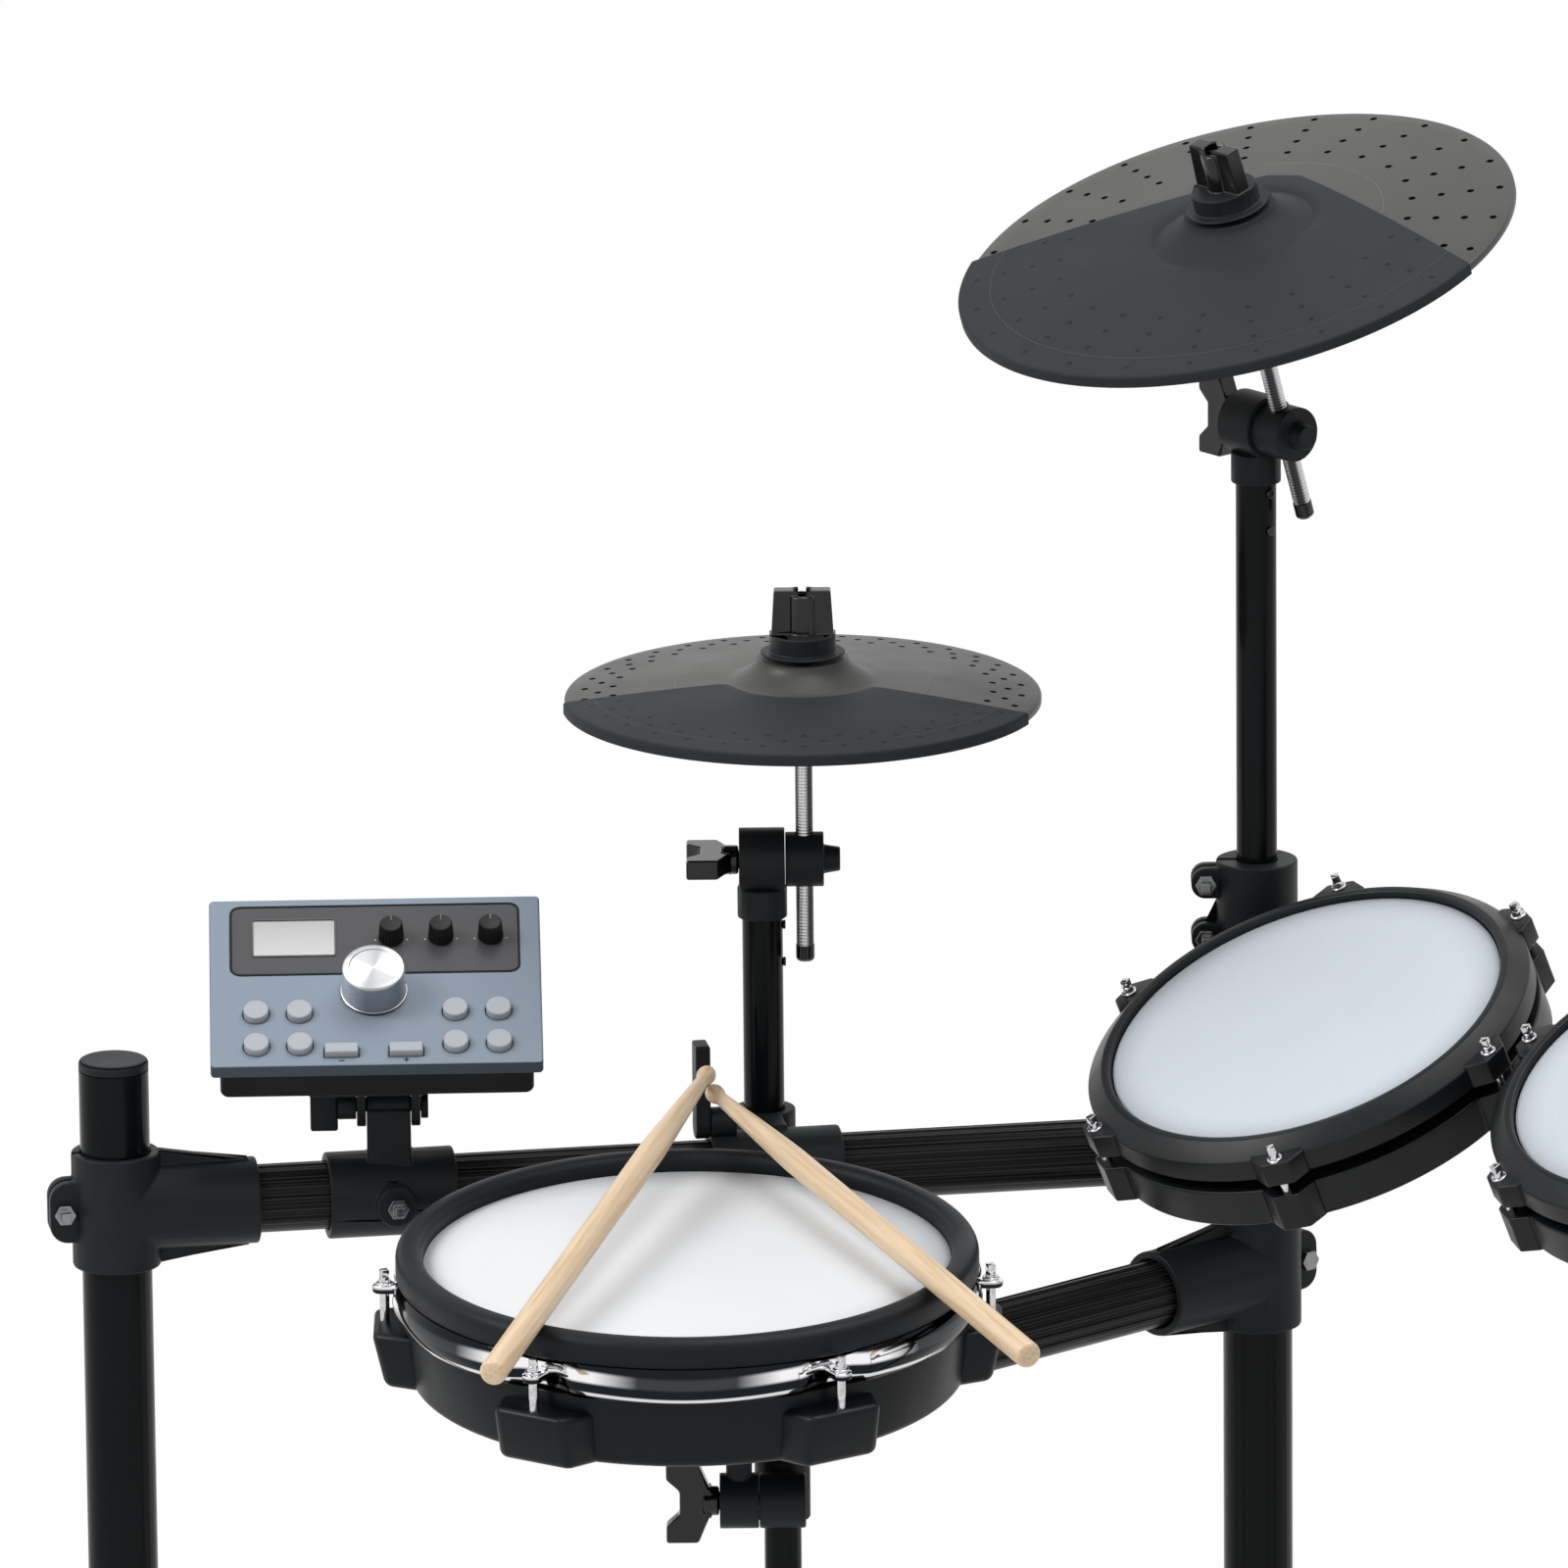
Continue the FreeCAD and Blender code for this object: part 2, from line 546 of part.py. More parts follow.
node("mast_sleeves", *copies(mast_sleeve, mast_sleeve_places))


# Ear bolts with a square key head and a nut, one in each clamp ear

ear_bolt = fuse(
    "ear_bolt",
    rod("ear_bolt_shank", s.bolt_radius, s.ear_thickness),
    hexagon("ear_bolt_head", s.bolt_head_radius, s.bolt_head_height, at(turn=UPSIDE_DOWN)),
    block("ear_bolt_square", s.bolt_square, s.bolt_square, s.bolt_square_height,
          at(0, 0, -s.bolt_head_height, UPSIDE_DOWN)),
    hexagon("ear_bolt_nut", s.bolt_head_radius, s.bolt_head_height, at(0, 0, s.ear_thickness)))


def ear_bolt_at(clamp_place, reach, rise):
    """A bolt's place in an ear, mirrored on the right half of the kit."""
    side = -1 if clamp_place.Base.x < 0 else 1
    turn = ALONG_Y if side < 0 else TO_DRUMMER
    return clamp_place.multiply(at(-(reach - s.bolt_inset), s.ear_thickness / 2 * side, rise, turn))


bolt_places = [ear_bolt_at(place, s.ear_reach, ZERO) for place in t_clamp_places]
bolt_places.append(ear_bolt_at(leg_clamp_place, s.leg_radius + s.ear_reach - s.post_radius, ZERO))
for place in mast_sleeve_places:
    for ear_rise in mast_sleeve_ears:
        bolt_places.append(ear_bolt_at(place, s.mast_sleeve_ear_reach, ear_rise))

# Clamps round the bars, for the module, the hi-hat mast and the toms

bar_clamp_radius = s.post_radius + s.sleeve_wall
boss_bolt = fuse(
    "boss_bolt",
    rod("boss_bolt_shank", s.bolt_radius, s.bar_clamp_boss_reach - seat_fit(s.post_radius)),
    hexagon("boss_bolt_head", s.bolt_head_radius, s.bolt_head_height, at(turn=UPSIDE_DOWN)),
    block("boss_bolt_square", s.bolt_square, s.bolt_square, s.bolt_square_height,
          at(0, 0, -s.bolt_head_height, UPSIDE_DOWN)))
boss_bolt_places = []


def bar_clamp(name, length, place, boss_turn=None, extras=(), holes=()):
    """A ring round a bar along its X, with a bolt boss where a direction is given."""
    pieces = [rod(name + "_ring", bar_clamp_radius, length, at(-length / 2, turn=ALONG_X)), *extras]
    cuts = [rod(name + "_bore", seat_fit(s.post_radius), length + s.overrun * 2,
                at(-length / 2 - s.overrun, turn=ALONG_X)), *holes]
    if boss_turn is not None:
        pieces.append(rod(name + "_boss", s.bar_clamp_boss_radius, s.bar_clamp_boss_reach,
                          at(turn=boss_turn)))
        cuts.append(rod(name + "_bolt_hole", seat_fit(s.bolt_radius), s.bar_clamp_boss_reach + s.overrun,
                        at(turn=boss_turn)))
        outward = at(turn=boss_turn).multiply(at(0, 0, s.bar_clamp_boss_reach, UPSIDE_DOWN))
        boss_bolt_places.append(place.multiply(outward))
    item = cut(name, fuse(name + "_solid", *pieces), *cuts)
    item.Placement = place
    return item


def side_bar_place(share, rise=ZERO):
    """A clamp's place on the left side bar, at a share of the way from the side post."""
    point = along(side_left, side_angle, s.side_bar_span * share)
    return at(point.x, point.y, s.side_bar_height + rise, spin(side_angle))


module_clamp_place = side_bar_place(s.module_clamp_share)
neck_turn = spin(s.module_turn - s.side_bar_angle)
module_clamp = bar_clamp(
    "module_clamp", s.bar_clamp_length, module_clamp_place, TO_DRUMMER,
    extras=(block("module_neck", s.neck_width, s.neck_depth, s.pivot_rise, at(turn=neck_turn)),
            rod("module_neck_top", s.pivot_radius, s.neck_width,
                at(0, 0, s.pivot_rise, neck_turn).multiply(at(-s.neck_width / 2, turn=ALONG_X)))),
    holes=(rod("module_neck_hole", seat_fit(s.pivot_pin_radius), s.neck_width + s.overrun * 2,
               at(0, 0, s.pivot_rise, neck_turn).multiply(at(-s.neck_width / 2 - s.overrun, turn=ALONG_X))),))

hihat_clamp_place = side_bar_place(s.hihat_clamp_share)
mast_holder_radius = s.mast_radius + s.mast_holder_wall
lever_side = -s.hihat_clamp_length / 2
hihat_clamp = bar_clamp(
    "hihat_clamp", s.hihat_clamp_length, hihat_clamp_place,
    extras=(rod("mast_holder", mast_holder_radius, s.mast_holder_height,
                at(0, s.hihat_mast_back, -s.mast_holder_height / 2)),
            block("mast_holder_web", s.mast_holder_web, s.hihat_mast_back, s.mast_holder_height,
                  at(0, s.hihat_mast_back / 2, -s.mast_holder_height / 2)),
            rod("lever_ear", s.lever_ear_radius, s.lever_ear_length,
                at(lever_side, 0, s.lever_pivot_rise, ALONG_X))),
    holes=(rod("mast_holder_bore", seat_fit(s.mast_radius), s.mast_holder_height + s.overrun * 2,
               at(0, s.hihat_mast_back, -s.mast_holder_height / 2 - s.overrun)),
           rod("lever_ear_hole", seat_fit(s.lever_bolt_radius), s.lever_ear_length + s.overrun,
               at(lever_side - s.overrun, 0, s.lever_pivot_rise, ALONG_X))))

lever_back = lever_side - s.touch_gap - s.lever_thickness
hihat_lever = fuse(
    "hihat_lever",
    rod("hihat_lever_boss", s.lever_boss_radius, s.lever_thickness, at(lever_back, turn=ALONG_X)),
    rod("hihat_lever_pin", s.lever_bolt_radius, s.lever_ear_length + s.touch_gap,
        at(lever_side - s.touch_gap, turn=ALONG_X)),
    block("hihat_lever_blade", s.lever_thickness, s.lever_width, s.lever_length,
          at(lever_back + s.lever_thickness / 2)))
node("hihat_clamp_lever", hihat_lever, place=hihat_clamp_place.multiply(at(0, 0, s.lever_pivot_rise)))


# Wings of the wing bolts: one thick plate, deep at both tips and waisted in the middle

WING_TIP_SHARE = 0.72
WING_WAIST_SHARE = 0.7


def wings(name, span, root, low, high, thickness):
    """A two-winged plate in X and Z, centred on Y."""
    tip_low = high - (high - low) * WING_TIP_SHARE
    waist = low + (high - low) * WING_WAIST_SHARE
    half = span / 2
    return padded(name, [
        (-half, high), (-half, tip_low), (-root / 2, low), (root / 2, low), (half, tip_low),
        (half, high), (root, high), (root / 2, waist), (-root / 2, waist), (-root, high),
    ], thickness, at(0, thickness / 2, 0, tip(QUARTER_TURN)))


# Cymbal arms: a mast with a tilter, whose head holds the rod that carries the cymbal pad

bell_top = s.bow_rise + s.bell_rise
head_start = s.tilter_length / 2 + s.touch_gap
rod_offset = head_start + s.tilter_head_length / 2


def tilter_base(name):
    """The barrel on a mast or leg top, bored for the tube below and for the wing bolt across."""
    return cut(
        name,
        fuse(name + "_solid",
             rod(name + "_barrel", s.tilter_radius, s.tilter_length, at(-s.tilter_length / 2, turn=ALONG_X)),
             rod(name + "_collar", s.tilter_collar_radius,
                 s.tilter_collar_drop - s.tilter_head_radius - s.touch_gap,
                 at(0, 0, -s.tilter_collar_drop))),
        rod(name + "_mast_bore", seat_fit(s.mast_radius), s.tilter_collar_drop - s.mast_top_drop + s.overrun,
            at(0, 0, -s.tilter_collar_drop - s.overrun)),
        rod(name + "_bolt_bore", seat_fit(s.wing_stem_radius), s.tilter_length + s.overrun * 2,
            at(-s.tilter_length / 2 - s.overrun, turn=ALONG_X)))


def wing_bolt(name, frame, start, turn=0):
    """The wing bolt through a tilter, with its boss at start on the -X side."""
    outward = at(-start, turn=Rotation(Vector(0, 0, 1), Vector(-1, 0, 0)).multiply(spin(turn)))
    wing_low = s.wing_boss_length / 2
    return fuse(
        name,
        rod(name + "_stem", s.wing_stem_radius, start + s.tilter_length / 2, at(turn=UPSIDE_DOWN)),
        rod(name + "_boss", s.wing_boss_radius, s.wing_boss_length),
        wings(name + "_wings", s.wing_span, s.wing_root, wing_low, wing_low + s.wing_length,
              s.wing_thickness),
    ), frame.multiply(outward)


def tilter_head(name):
    """The clamping drum beside the base, bored for the rod, with a small knob on its outer end."""
    return cut(
        name,
        fuse(name + "_solid",
             rod(name + "_drum", s.tilter_head_radius, s.tilter_head_length, at(head_start, turn=ALONG_X)),
             cone(name + "_knob", s.tilter_knob_radius, s.tilter_knob_radius - s.cap_edge,
                  s.tilter_knob_length, at(head_start + s.tilter_head_length, turn=ALONG_X))),
        rod(name + "_rod_bore", seat_fit(s.rod_radius), s.tilter_head_radius * 2 + s.overrun * 2,
            at(rod_offset, 0, -s.tilter_head_radius - s.overrun)))


def cymbal_shell(name, radius):
    """The plastic plate of a cymbal pad, its rim edge at height 0, with a bell and a turned-down rim."""
    under_bell = bell_top - s.cymbal_thickness
    return turned(name, [
        (s.cymbal_hole, under_bell), (s.cymbal_hole, bell_top), (s.bell_top_radius, bell_top),
        (s.bell_radius, s.bow_rise), (radius, ZERO),
        (radius, -s.rim_drop), (radius - s.rim_wall, -s.rim_drop), (radius - s.rim_wall, -s.cymbal_thickness),
        (s.bell_radius, s.bow_rise - s.cymbal_thickness), (s.bell_top_radius, under_bell),
    ])


def cymbal_rubber(name, radius, arc, turn):
    """The rubber strike zone over part of the bow, folded down over the rim."""
    lift = s.bow_rise + s.fit_gap
    inside = radius + s.fit_gap
    outside = inside + s.rubber_thickness
    body = turned(name, [
        (s.bell_radius, lift), (inside, s.fit_gap), (inside, -s.rim_drop),
        (outside, -s.rim_drop), (outside, s.fit_gap + s.rubber_thickness / 2),
        (inside, s.fit_gap + s.rubber_thickness),
        (s.bell_radius, lift + s.rubber_thickness),
    ], arc=arc, place=at(turn=spin(turn)))
    body.Tip.Midplane = True
    return body


def wing_nut(name):
    """A flanged cup with two wings, bored for the rod, on height 0; its rim is raised for the pad to rock."""
    flange_top = s.rock_cone + s.cup_flange_height
    cup = turned(name + "_cup", [
        (ZERO, ZERO), (s.seat_radius, ZERO), (s.cup_flange_radius, s.rock_cone),
        (s.cup_flange_radius, flange_top), (s.cup_radius, flange_top), (s.cup_radius, s.cup_height),
        (ZERO, s.cup_height),
    ])
    nut_top = s.cup_height + s.nut_wing_height
    plate = padded(name + "_wings", [
        (-s.nut_wing_foot / 2, s.cup_height), (s.nut_wing_foot / 2, s.cup_height),
        (s.nut_wing_span / 2, nut_top), (-s.nut_wing_span / 2, nut_top),
    ], s.nut_wing_thickness, at(0, s.nut_wing_thickness / 2, 0, tip(QUARTER_TURN)))
    stem = rod(name + "_tube", s.nut_tube_radius, nut_top - s.rod_tip_height)
    return cut(name, fuse(name + "_solid", cup, plate, stem),
               rod(name + "_bore", seat_fit(s.rod_radius), nut_top + s.overrun * 2, at(0, 0, -s.overrun)))


def tube_screws(name, first, place):
    """Two screw heads on the side of a tube."""
    screws = []
    for index in range(2):
        height = -(first + s.tube_screw_pitch * index)
        spot = place.multiply(at(s.mast_radius, 0, height, ALONG_X))
        screws.append(rod(f"{name}_screw", s.tube_screw_radius, s.tube_screw_height, spot))
    return screws


def cymbal_arm(name, foot, height, mast_drop, axis_angle, tilt, rim_rise, rod_drop, radius, rubber,
               wing_turn=0):
    """Mast, tilter, rod, cymbal pad and nuts of one cymbal, hung from the tilter's axis.

    The rubber is given as its arc and the direction that it faces.
    """
    frame = at(foot.x, foot.y, height, spin(axis_angle))
    base = tilter_base(name + "_tilter_base")
    base.Placement = frame
    mast = tube(name + "_mast_tube", s.mast_radius, s.mast_radius - s.mast_wall, mast_drop - s.mast_top_drop,
                frame.multiply(at(0, 0, -mast_drop)))
    screws = tube_screws(name, s.tilter_collar_drop + s.tube_screw_first, frame)
    node(name + "_mast", mast, base, *screws)
    bolt, bolt_place = wing_bolt(name + "_wing_stem", frame, head_start, wing_turn)
    node(name + "_wing_bolt", bolt, place=bolt_place)

    seat_top = rim_rise + bell_top - s.cymbal_thickness - s.rock_gap
    nut_low = rim_rise + bell_top + s.rock_gap
    rod_top = nut_low + s.cup_height + s.rod_tip_height
    stem_place = at(rod_offset)
    node(name + "_tilter",
         tilter_head(name + "_tilter_head"),
         rod(name + "_rod", s.rod_radius, rod_drop + rod_top, stem_place.multiply(at(0, 0, -rod_drop))),
         tube(name + "_seat", s.seat_radius, seat_fit(s.rod_radius), s.seat_height,
              stem_place.multiply(at(0, 0, seat_top - s.seat_height))),
         place=frame.multiply(at(turn=tip(tilt))))
    pad_place = frame.multiply(at(turn=tip(tilt))).multiply(at(rod_offset, 0, rim_rise))
    node(name + "_cymbal", cymbal_shell(name + "_shell", radius),
         cymbal_rubber(name + "_rubber", radius, rubber[0], float(rubber[1]) - float(axis_angle)),
         place=pad_place)
    nut_place = frame.multiply(at(turn=tip(tilt))).multiply(at(rod_offset, 0, nut_low))
    node(name + "_wing_nut", wing_nut(name + "_nut"), place=nut_place)


hihat_foot = hihat_clamp_place.multVec(Vector(0, float(s.hihat_mast_back), 0))
crash_height = s.side_bar_height + s.crash_tilter_rise
cymbal_arm("hihat", hihat_foot, s.side_bar_height + s.hihat_tilter_rise,
           s.hihat_tilter_rise + s.hihat_mast_drop, s.hihat_axis_angle, 0, s.hihat_rim_rise,
           s.hihat_rod_drop, s.hihat_radius, (s.hihat_rubber_arc, s.hihat_rubber_angle), s.hihat_wing_turn)
cymbal_arm("crash", front_left, crash_height, s.crash_mast_drop, s.crash_axis_angle, s.crash_tilt,
           s.crash_rim_rise, s.crash_rod_drop, s.crash_radius,
           (s.crash_rubber_arc, s.crash_rubber_angle))
cymbal_arm("ride", front_right, crash_height, s.crash_mast_drop, HALF_TURN - float(s.crash_axis_angle),
           -s.crash_tilt, s.crash_rim_rise, s.crash_rod_drop, s.crash_radius,
           (s.crash_rubber_arc, HALF_TURN - float(s.crash_rubber_angle)))

# Snare pad on its tilter, which is clamped to the snare leg

def sine(angle):
    return Size(math.sin(math.radians(angle.value)), f"sin({angle.text})")


def cosine(angle):
    return Size(math.cos(math.radians(angle.value)), f"cos({angle.text})")


def around(count, radius):
    """Places evenly round a circle, each with its X pointing outwards."""
    number = int(float(count))
    return [at(turn=spin(360 / number * index)).multiply(at(radius)) for index in range(number)]


snare_tilter_height = s.side_bar_height - s.snare_tilter_drop
leg_frame = at(snare_leg_foot.x, snare_leg_foot.y, snare_tilter_height, spin(s.snare_turn))
pivot_frame = leg_frame.multiply(at(0, -s.snare_pivot_out))
leg_ring_radius = s.leg_radius + s.clamp_wall
snare_base = cut(
    "snare_tilter_base",
    fuse("snare_tilter_base_solid",
         rod("snare_base_ring", leg_ring_radius, s.tilter_radius * 2, at(0, 0, -s.tilter_radius)),
         rod("snare_base_barrel", s.tilter_head_radius, s.tilter_length,
             at(-s.tilter_length / 2, -s.snare_pivot_out, 0, ALONG_X)),
         block("snare_base_web", s.tilter_length, s.snare_pivot_out, s.tilter_head_radius,
               at(0, -s.snare_pivot_out / 2, -s.tilter_head_radius / 2))),
    rod("snare_base_leg_bore", seat_fit(s.leg_radius), s.tilter_radius * 2 + s.overrun * 2,
        at(0, 0, -s.tilter_radius - s.overrun)),
    rod("snare_base_bolt_bore", seat_fit(s.wing_stem_radius), s.tilter_length + s.overrun * 2,
        at(-s.tilter_length / 2 - s.overrun, -s.snare_pivot_out, 0, ALONG_X)))
snare_base.Placement = leg_frame
snare_head_end = head_start + s.tilter_head_length
snare_bolt, snare_bolt_place = wing_bolt("snare_wing_stem", pivot_frame, snare_head_end + s.touch_gap)
node("snare_wing_bolt", snare_bolt, place=snare_bolt_place)

tilted_pivot = pivot_frame.multiply(at(turn=tip(s.snare_tilt)))
snare_place = tilted_pivot.multiply(at(s.snare_side, s.snare_forward + s.snare_pivot_out, s.snare_lift))
snare_bottom = s.snare_lift - s.snare_depth
node("snare_mount", cut(
    "snare_mount_solid",
    fuse("snare_mount_form",
         rod("snare_mount_drum", s.tilter_head_radius, s.tilter_head_length,
             at(-snare_head_end, turn=ALONG_X)),
         rod("snare_mount_rod", s.snare_pivot_rod_radius, snare_bottom, at(-rod_offset)),
         rod("snare_mount_flange", s.snare_flange_radius, s.snare_flange_height,
             at(-rod_offset, 0, snare_bottom - s.snare_flange_height))),
    rod("snare_mount_bore", seat_fit(s.wing_stem_radius), s.tilter_head_length + s.overrun * 2,
        at(-snare_head_end - s.overrun, turn=ALONG_X))), place=tilted_pivot)

snare_rim_outer = s.snare_head_radius + s.snare_rim_width
hoop_top = -s.snare_rim_depth
hoop_low = hoop_top - s.snare_hoop_depth
snare_seat = s.snare_head_radius - s.snare_shell_wall
node("snare_head", rod("snare_head_disc", s.snare_head_radius - s.fit_gap, s.snare_head_thickness,
                       at(0, 0, -s.snare_head_thickness)), place=snare_place)
node("snare_rim", turned("snare_rim_ring", [
    (s.snare_head_radius, hoop_top), (snare_rim_outer, hoop_top),
    (snare_rim_outer, s.snare_rim_rise - s.snare_rim_edge),
    (snare_rim_outer - s.snare_rim_edge, s.snare_rim_rise, s.snare_rim_edge, 1),
    (s.snare_head_radius + s.snare_rim_edge, s.snare_rim_rise),
    (s.snare_head_radius, s.snare_rim_rise - s.snare_rim_edge, s.snare_rim_edge, 1),
]), place=snare_place)

rod_places = around(s.snare_lugs, s.snare_rod_reach)
hoop_band = turned("snare_hoop_band", [
    (s.snare_head_radius, hoop_low), (snare_rim_outer, hoop_low),
    (snare_rim_outer + s.snare_hoop_bulge, hoop_low + s.snare_hoop_depth / 3), (snare_rim_outer, hoop_top),
    (s.snare_head_radius, hoop_top),
])
hoop_lugs = [rod("snare_hoop_lug", s.snare_ear_radius, s.snare_hoop_depth,
                 place.multiply(at(0, 0, hoop_low))) for place in rod_places]
hoop_holes = [rod("snare_hoop_hole", seat_fit(s.snare_rod_radius), s.snare_hoop_depth + s.overrun * 2,
                  place.multiply(at(0, 0, hoop_low - s.overrun))) for place in rod_places]
hoop_ring = cut("snare_hoop_ring", fuse("snare_hoop_solid", hoop_band, *hoop_lugs), *hoop_holes)
tension_rod = fuse(
    "snare_tension_rod",
    rod("snare_rod_shank", s.snare_rod_radius, s.snare_rod_length + s.snare_hoop_depth,
        at(0, 0, hoop_low - s.snare_rod_length)),
    rod("snare_rod_head", s.snare_screw_head_radius, s.snare_screw_head_height, at(0, 0, hoop_top)))
node("snare_hoop", hoop_ring, *copies(tension_rod, rod_places), place=snare_place)

shell_low = -s.snare_depth
lug_top = hoop_low - s.snare_rod_length / 2
shell_cup = turned("snare_shell_cup", [
    (ZERO, shell_low), (s.snare_shell_radius - s.snare_shell_taper, shell_low),
    (s.snare_shell_radius, hoop_low - s.touch_gap),
    (s.snare_head_radius - s.touch_gap, hoop_low - s.touch_gap),
    (s.snare_head_radius - s.touch_gap, -s.snare_head_thickness), (snare_seat, -s.snare_head_thickness),
    (snare_seat, shell_low + s.snare_floor), (ZERO, shell_low + s.snare_floor),
])
lug_sides = (s.snare_lug_width / 2, s.snare_lug_face / 2)
lug_form = padded("snare_lug", [
    (s.snare_lug_root, -lug_sides[0]), (s.snare_lug_reach, -lug_sides[1]),
    (s.snare_lug_reach, lug_sides[1]), (s.snare_lug_root, lug_sides[0]),
], lug_top - shell_low, at(0, 0, shell_low))
lugs = copies(lug_form, around(s.snare_lugs, ZERO))
lug_holes = [rod("snare_lug_hole", seat_fit(s.snare_rod_radius), s.snare_rod_length,
                 place.multiply(at(0, 0, hoop_low - s.snare_rod_length))) for place in rod_places]
snare_cavity = rod("snare_cavity", snare_seat, s.snare_depth, at(0, 0, shell_low + s.snare_floor))
snare_body = cut("snare_body", fuse("snare_body_solid", shell_cup, *lugs), snare_cavity, *lug_holes)
snare_sensor = cone("snare_sensor", s.sensor_radius, s.sensor_tip_radius,
                    s.snare_depth - s.snare_floor - s.snare_head_thickness - s.touch_gap,
                    at(0, 0, shell_low + s.snare_floor))
node("snare_shell", snare_body, snare_sensor, place=snare_place)


# Tom pads: a hoop with lugs over a frame with matching lugs, on a pivot at the end of a clamp's arm

tom_outer = s.tom_head_radius + s.tom_hoop_width
tom_core = s.tom_head_radius - s.touch_gap
frame_top = -s.tom_hoop_depth - s.tom_gap
tom_low = frame_top - s.tom_frame_depth
tom_height = s.tom_pivot_drop - tom_low
lug_places = [at(turn=spin(s.tom_lug_turn)).multiply(place) for place in around(s.tom_lugs, ZERO)]
lug_root = s.tom_head_radius + s.tom_hoop_width / 2
screw_reach = s.tom_lug_reach - s.tom_screw_inset


def tom_lug_blocks(name, height, low):
    """The lugs of a hoop or frame, with their outer corners cut off."""
    lug_side = s.tom_lug_width / 2
    form = padded(name, [
        (lug_root, -lug_side), (s.tom_lug_shoulder, -lug_side), (s.tom_lug_reach, -s.tom_lug_face / 2),
        (s.tom_lug_reach, s.tom_lug_face / 2), (s.tom_lug_shoulder, lug_side), (lug_root, lug_side),
    ], height, at(0, 0, low))
    return copies(form, lug_places)


tom_hoop_ring = turned("tom_hoop_ring", [
    (s.tom_head_radius, -s.tom_hoop_depth), (tom_outer, -s.tom_hoop_depth),
    (tom_outer, s.tom_hoop_rise - s.tom_hoop_chamfer), (tom_outer - s.tom_hoop_chamfer, s.tom_hoop_rise),
    (s.tom_head_radius, s.tom_hoop_rise),
])
hoop_lug_height = s.tom_hoop_depth + s.tom_hoop_rise - s.tom_hoop_chamfer
tom_hoop = cut(
    "tom_hoop",
    fuse("tom_hoop_solid", tom_hoop_ring,
         *tom_lug_blocks("tom_hoop_lug", hoop_lug_height, -s.tom_hoop_depth)),
    *[rod("tom_hoop_hole", seat_fit(s.tom_screw_radius), hoop_lug_height + s.overrun * 2,
          place.multiply(at(screw_reach, 0, -s.tom_hoop_depth - s.overrun))) for place in lug_places])
tom_cup = turned("tom_cup", [
    (ZERO, tom_low), (tom_outer, tom_low), (tom_outer, frame_top), (tom_core, frame_top),
    (tom_core, -s.tom_head_thickness), (tom_core - s.tom_wall, -s.tom_head_thickness),
    (tom_core - s.tom_wall, tom_low + s.tom_wall), (ZERO, tom_low + s.tom_wall),
])
ear_offset = s.tom_pivot_length / 2 + s.touch_gap
tom_ears = []
for side, start in (("left", -ear_offset - s.tom_ear_thickness), ("right", ear_offset)):
    tom_ears.append(block(f"tom_ear_{side}", s.tom_ear_thickness, s.tom_ear_width, s.tom_pivot_drop,
                          at(start + s.tom_ear_thickness / 2, 0, tom_low - s.tom_pivot_drop)))
    tom_ears.append(rod(f"tom_ear_end_{side}", s.tom_ear_width / 2, s.tom_ear_thickness,
                        at(start, 0, tom_low - s.tom_pivot_drop, ALONG_X)))
pin_length = (ear_offset + s.tom_ear_thickness + s.touch_gap) * 2
tom_frame = cut(
    "tom_frame",
    fuse("tom_frame_solid", tom_cup, *tom_lug_blocks("tom_frame_lug", s.tom_frame_depth, tom_low), *tom_ears),
    rod("tom_pin_bore", seat_fit(s.tom_pin_radius), pin_length,
        at(-pin_length / 2, 0, tom_low - s.tom_pivot_drop, ALONG_X)),
    rod("tom_cavity", tom_core - s.tom_wall, -tom_low, at(0, 0, tom_low + s.tom_wall)))
tom_screw_top = s.tom_hoop_rise - s.tom_hoop_chamfer
tom_screw = fuse(
    "tom_screw",
    rod("tom_screw_shank", s.tom_screw_radius, tom_screw_top - frame_top, at(0, 0, frame_top)),
    rod("tom_screw_head", s.tom_screw_head_radius, s.tom_screw_head_height, at(0, 0, tom_screw_top)))
tom_head = rod("tom_head_disc", tom_core, s.tom_head_thickness, at(0, 0, -s.tom_head_thickness))
tom_sensor = cone("tom_sensor", s.sensor_radius, s.sensor_tip_radius,
                  -tom_low - s.tom_wall - s.tom_head_thickness - s.touch_gap, at(0, 0, tom_low + s.tom_wall))
tom_pin = fuse(
    "tom_pin",
    rod("tom_pin_shank", s.tom_pin_radius, pin_length, at(-pin_length / 2, turn=ALONG_X)),
    hexagon("tom_pin_head", s.tom_pin_radius * 2, s.tom_pin_radius, at(pin_length / 2, turn=ALONG_X)),
    hexagon("tom_pin_nut", s.tom_pin_radius * 2, s.tom_pin_radius,
        at(-pin_length / 2 - s.tom_pin_radius, turn=ALONG_X)))
tom_pin_places = []


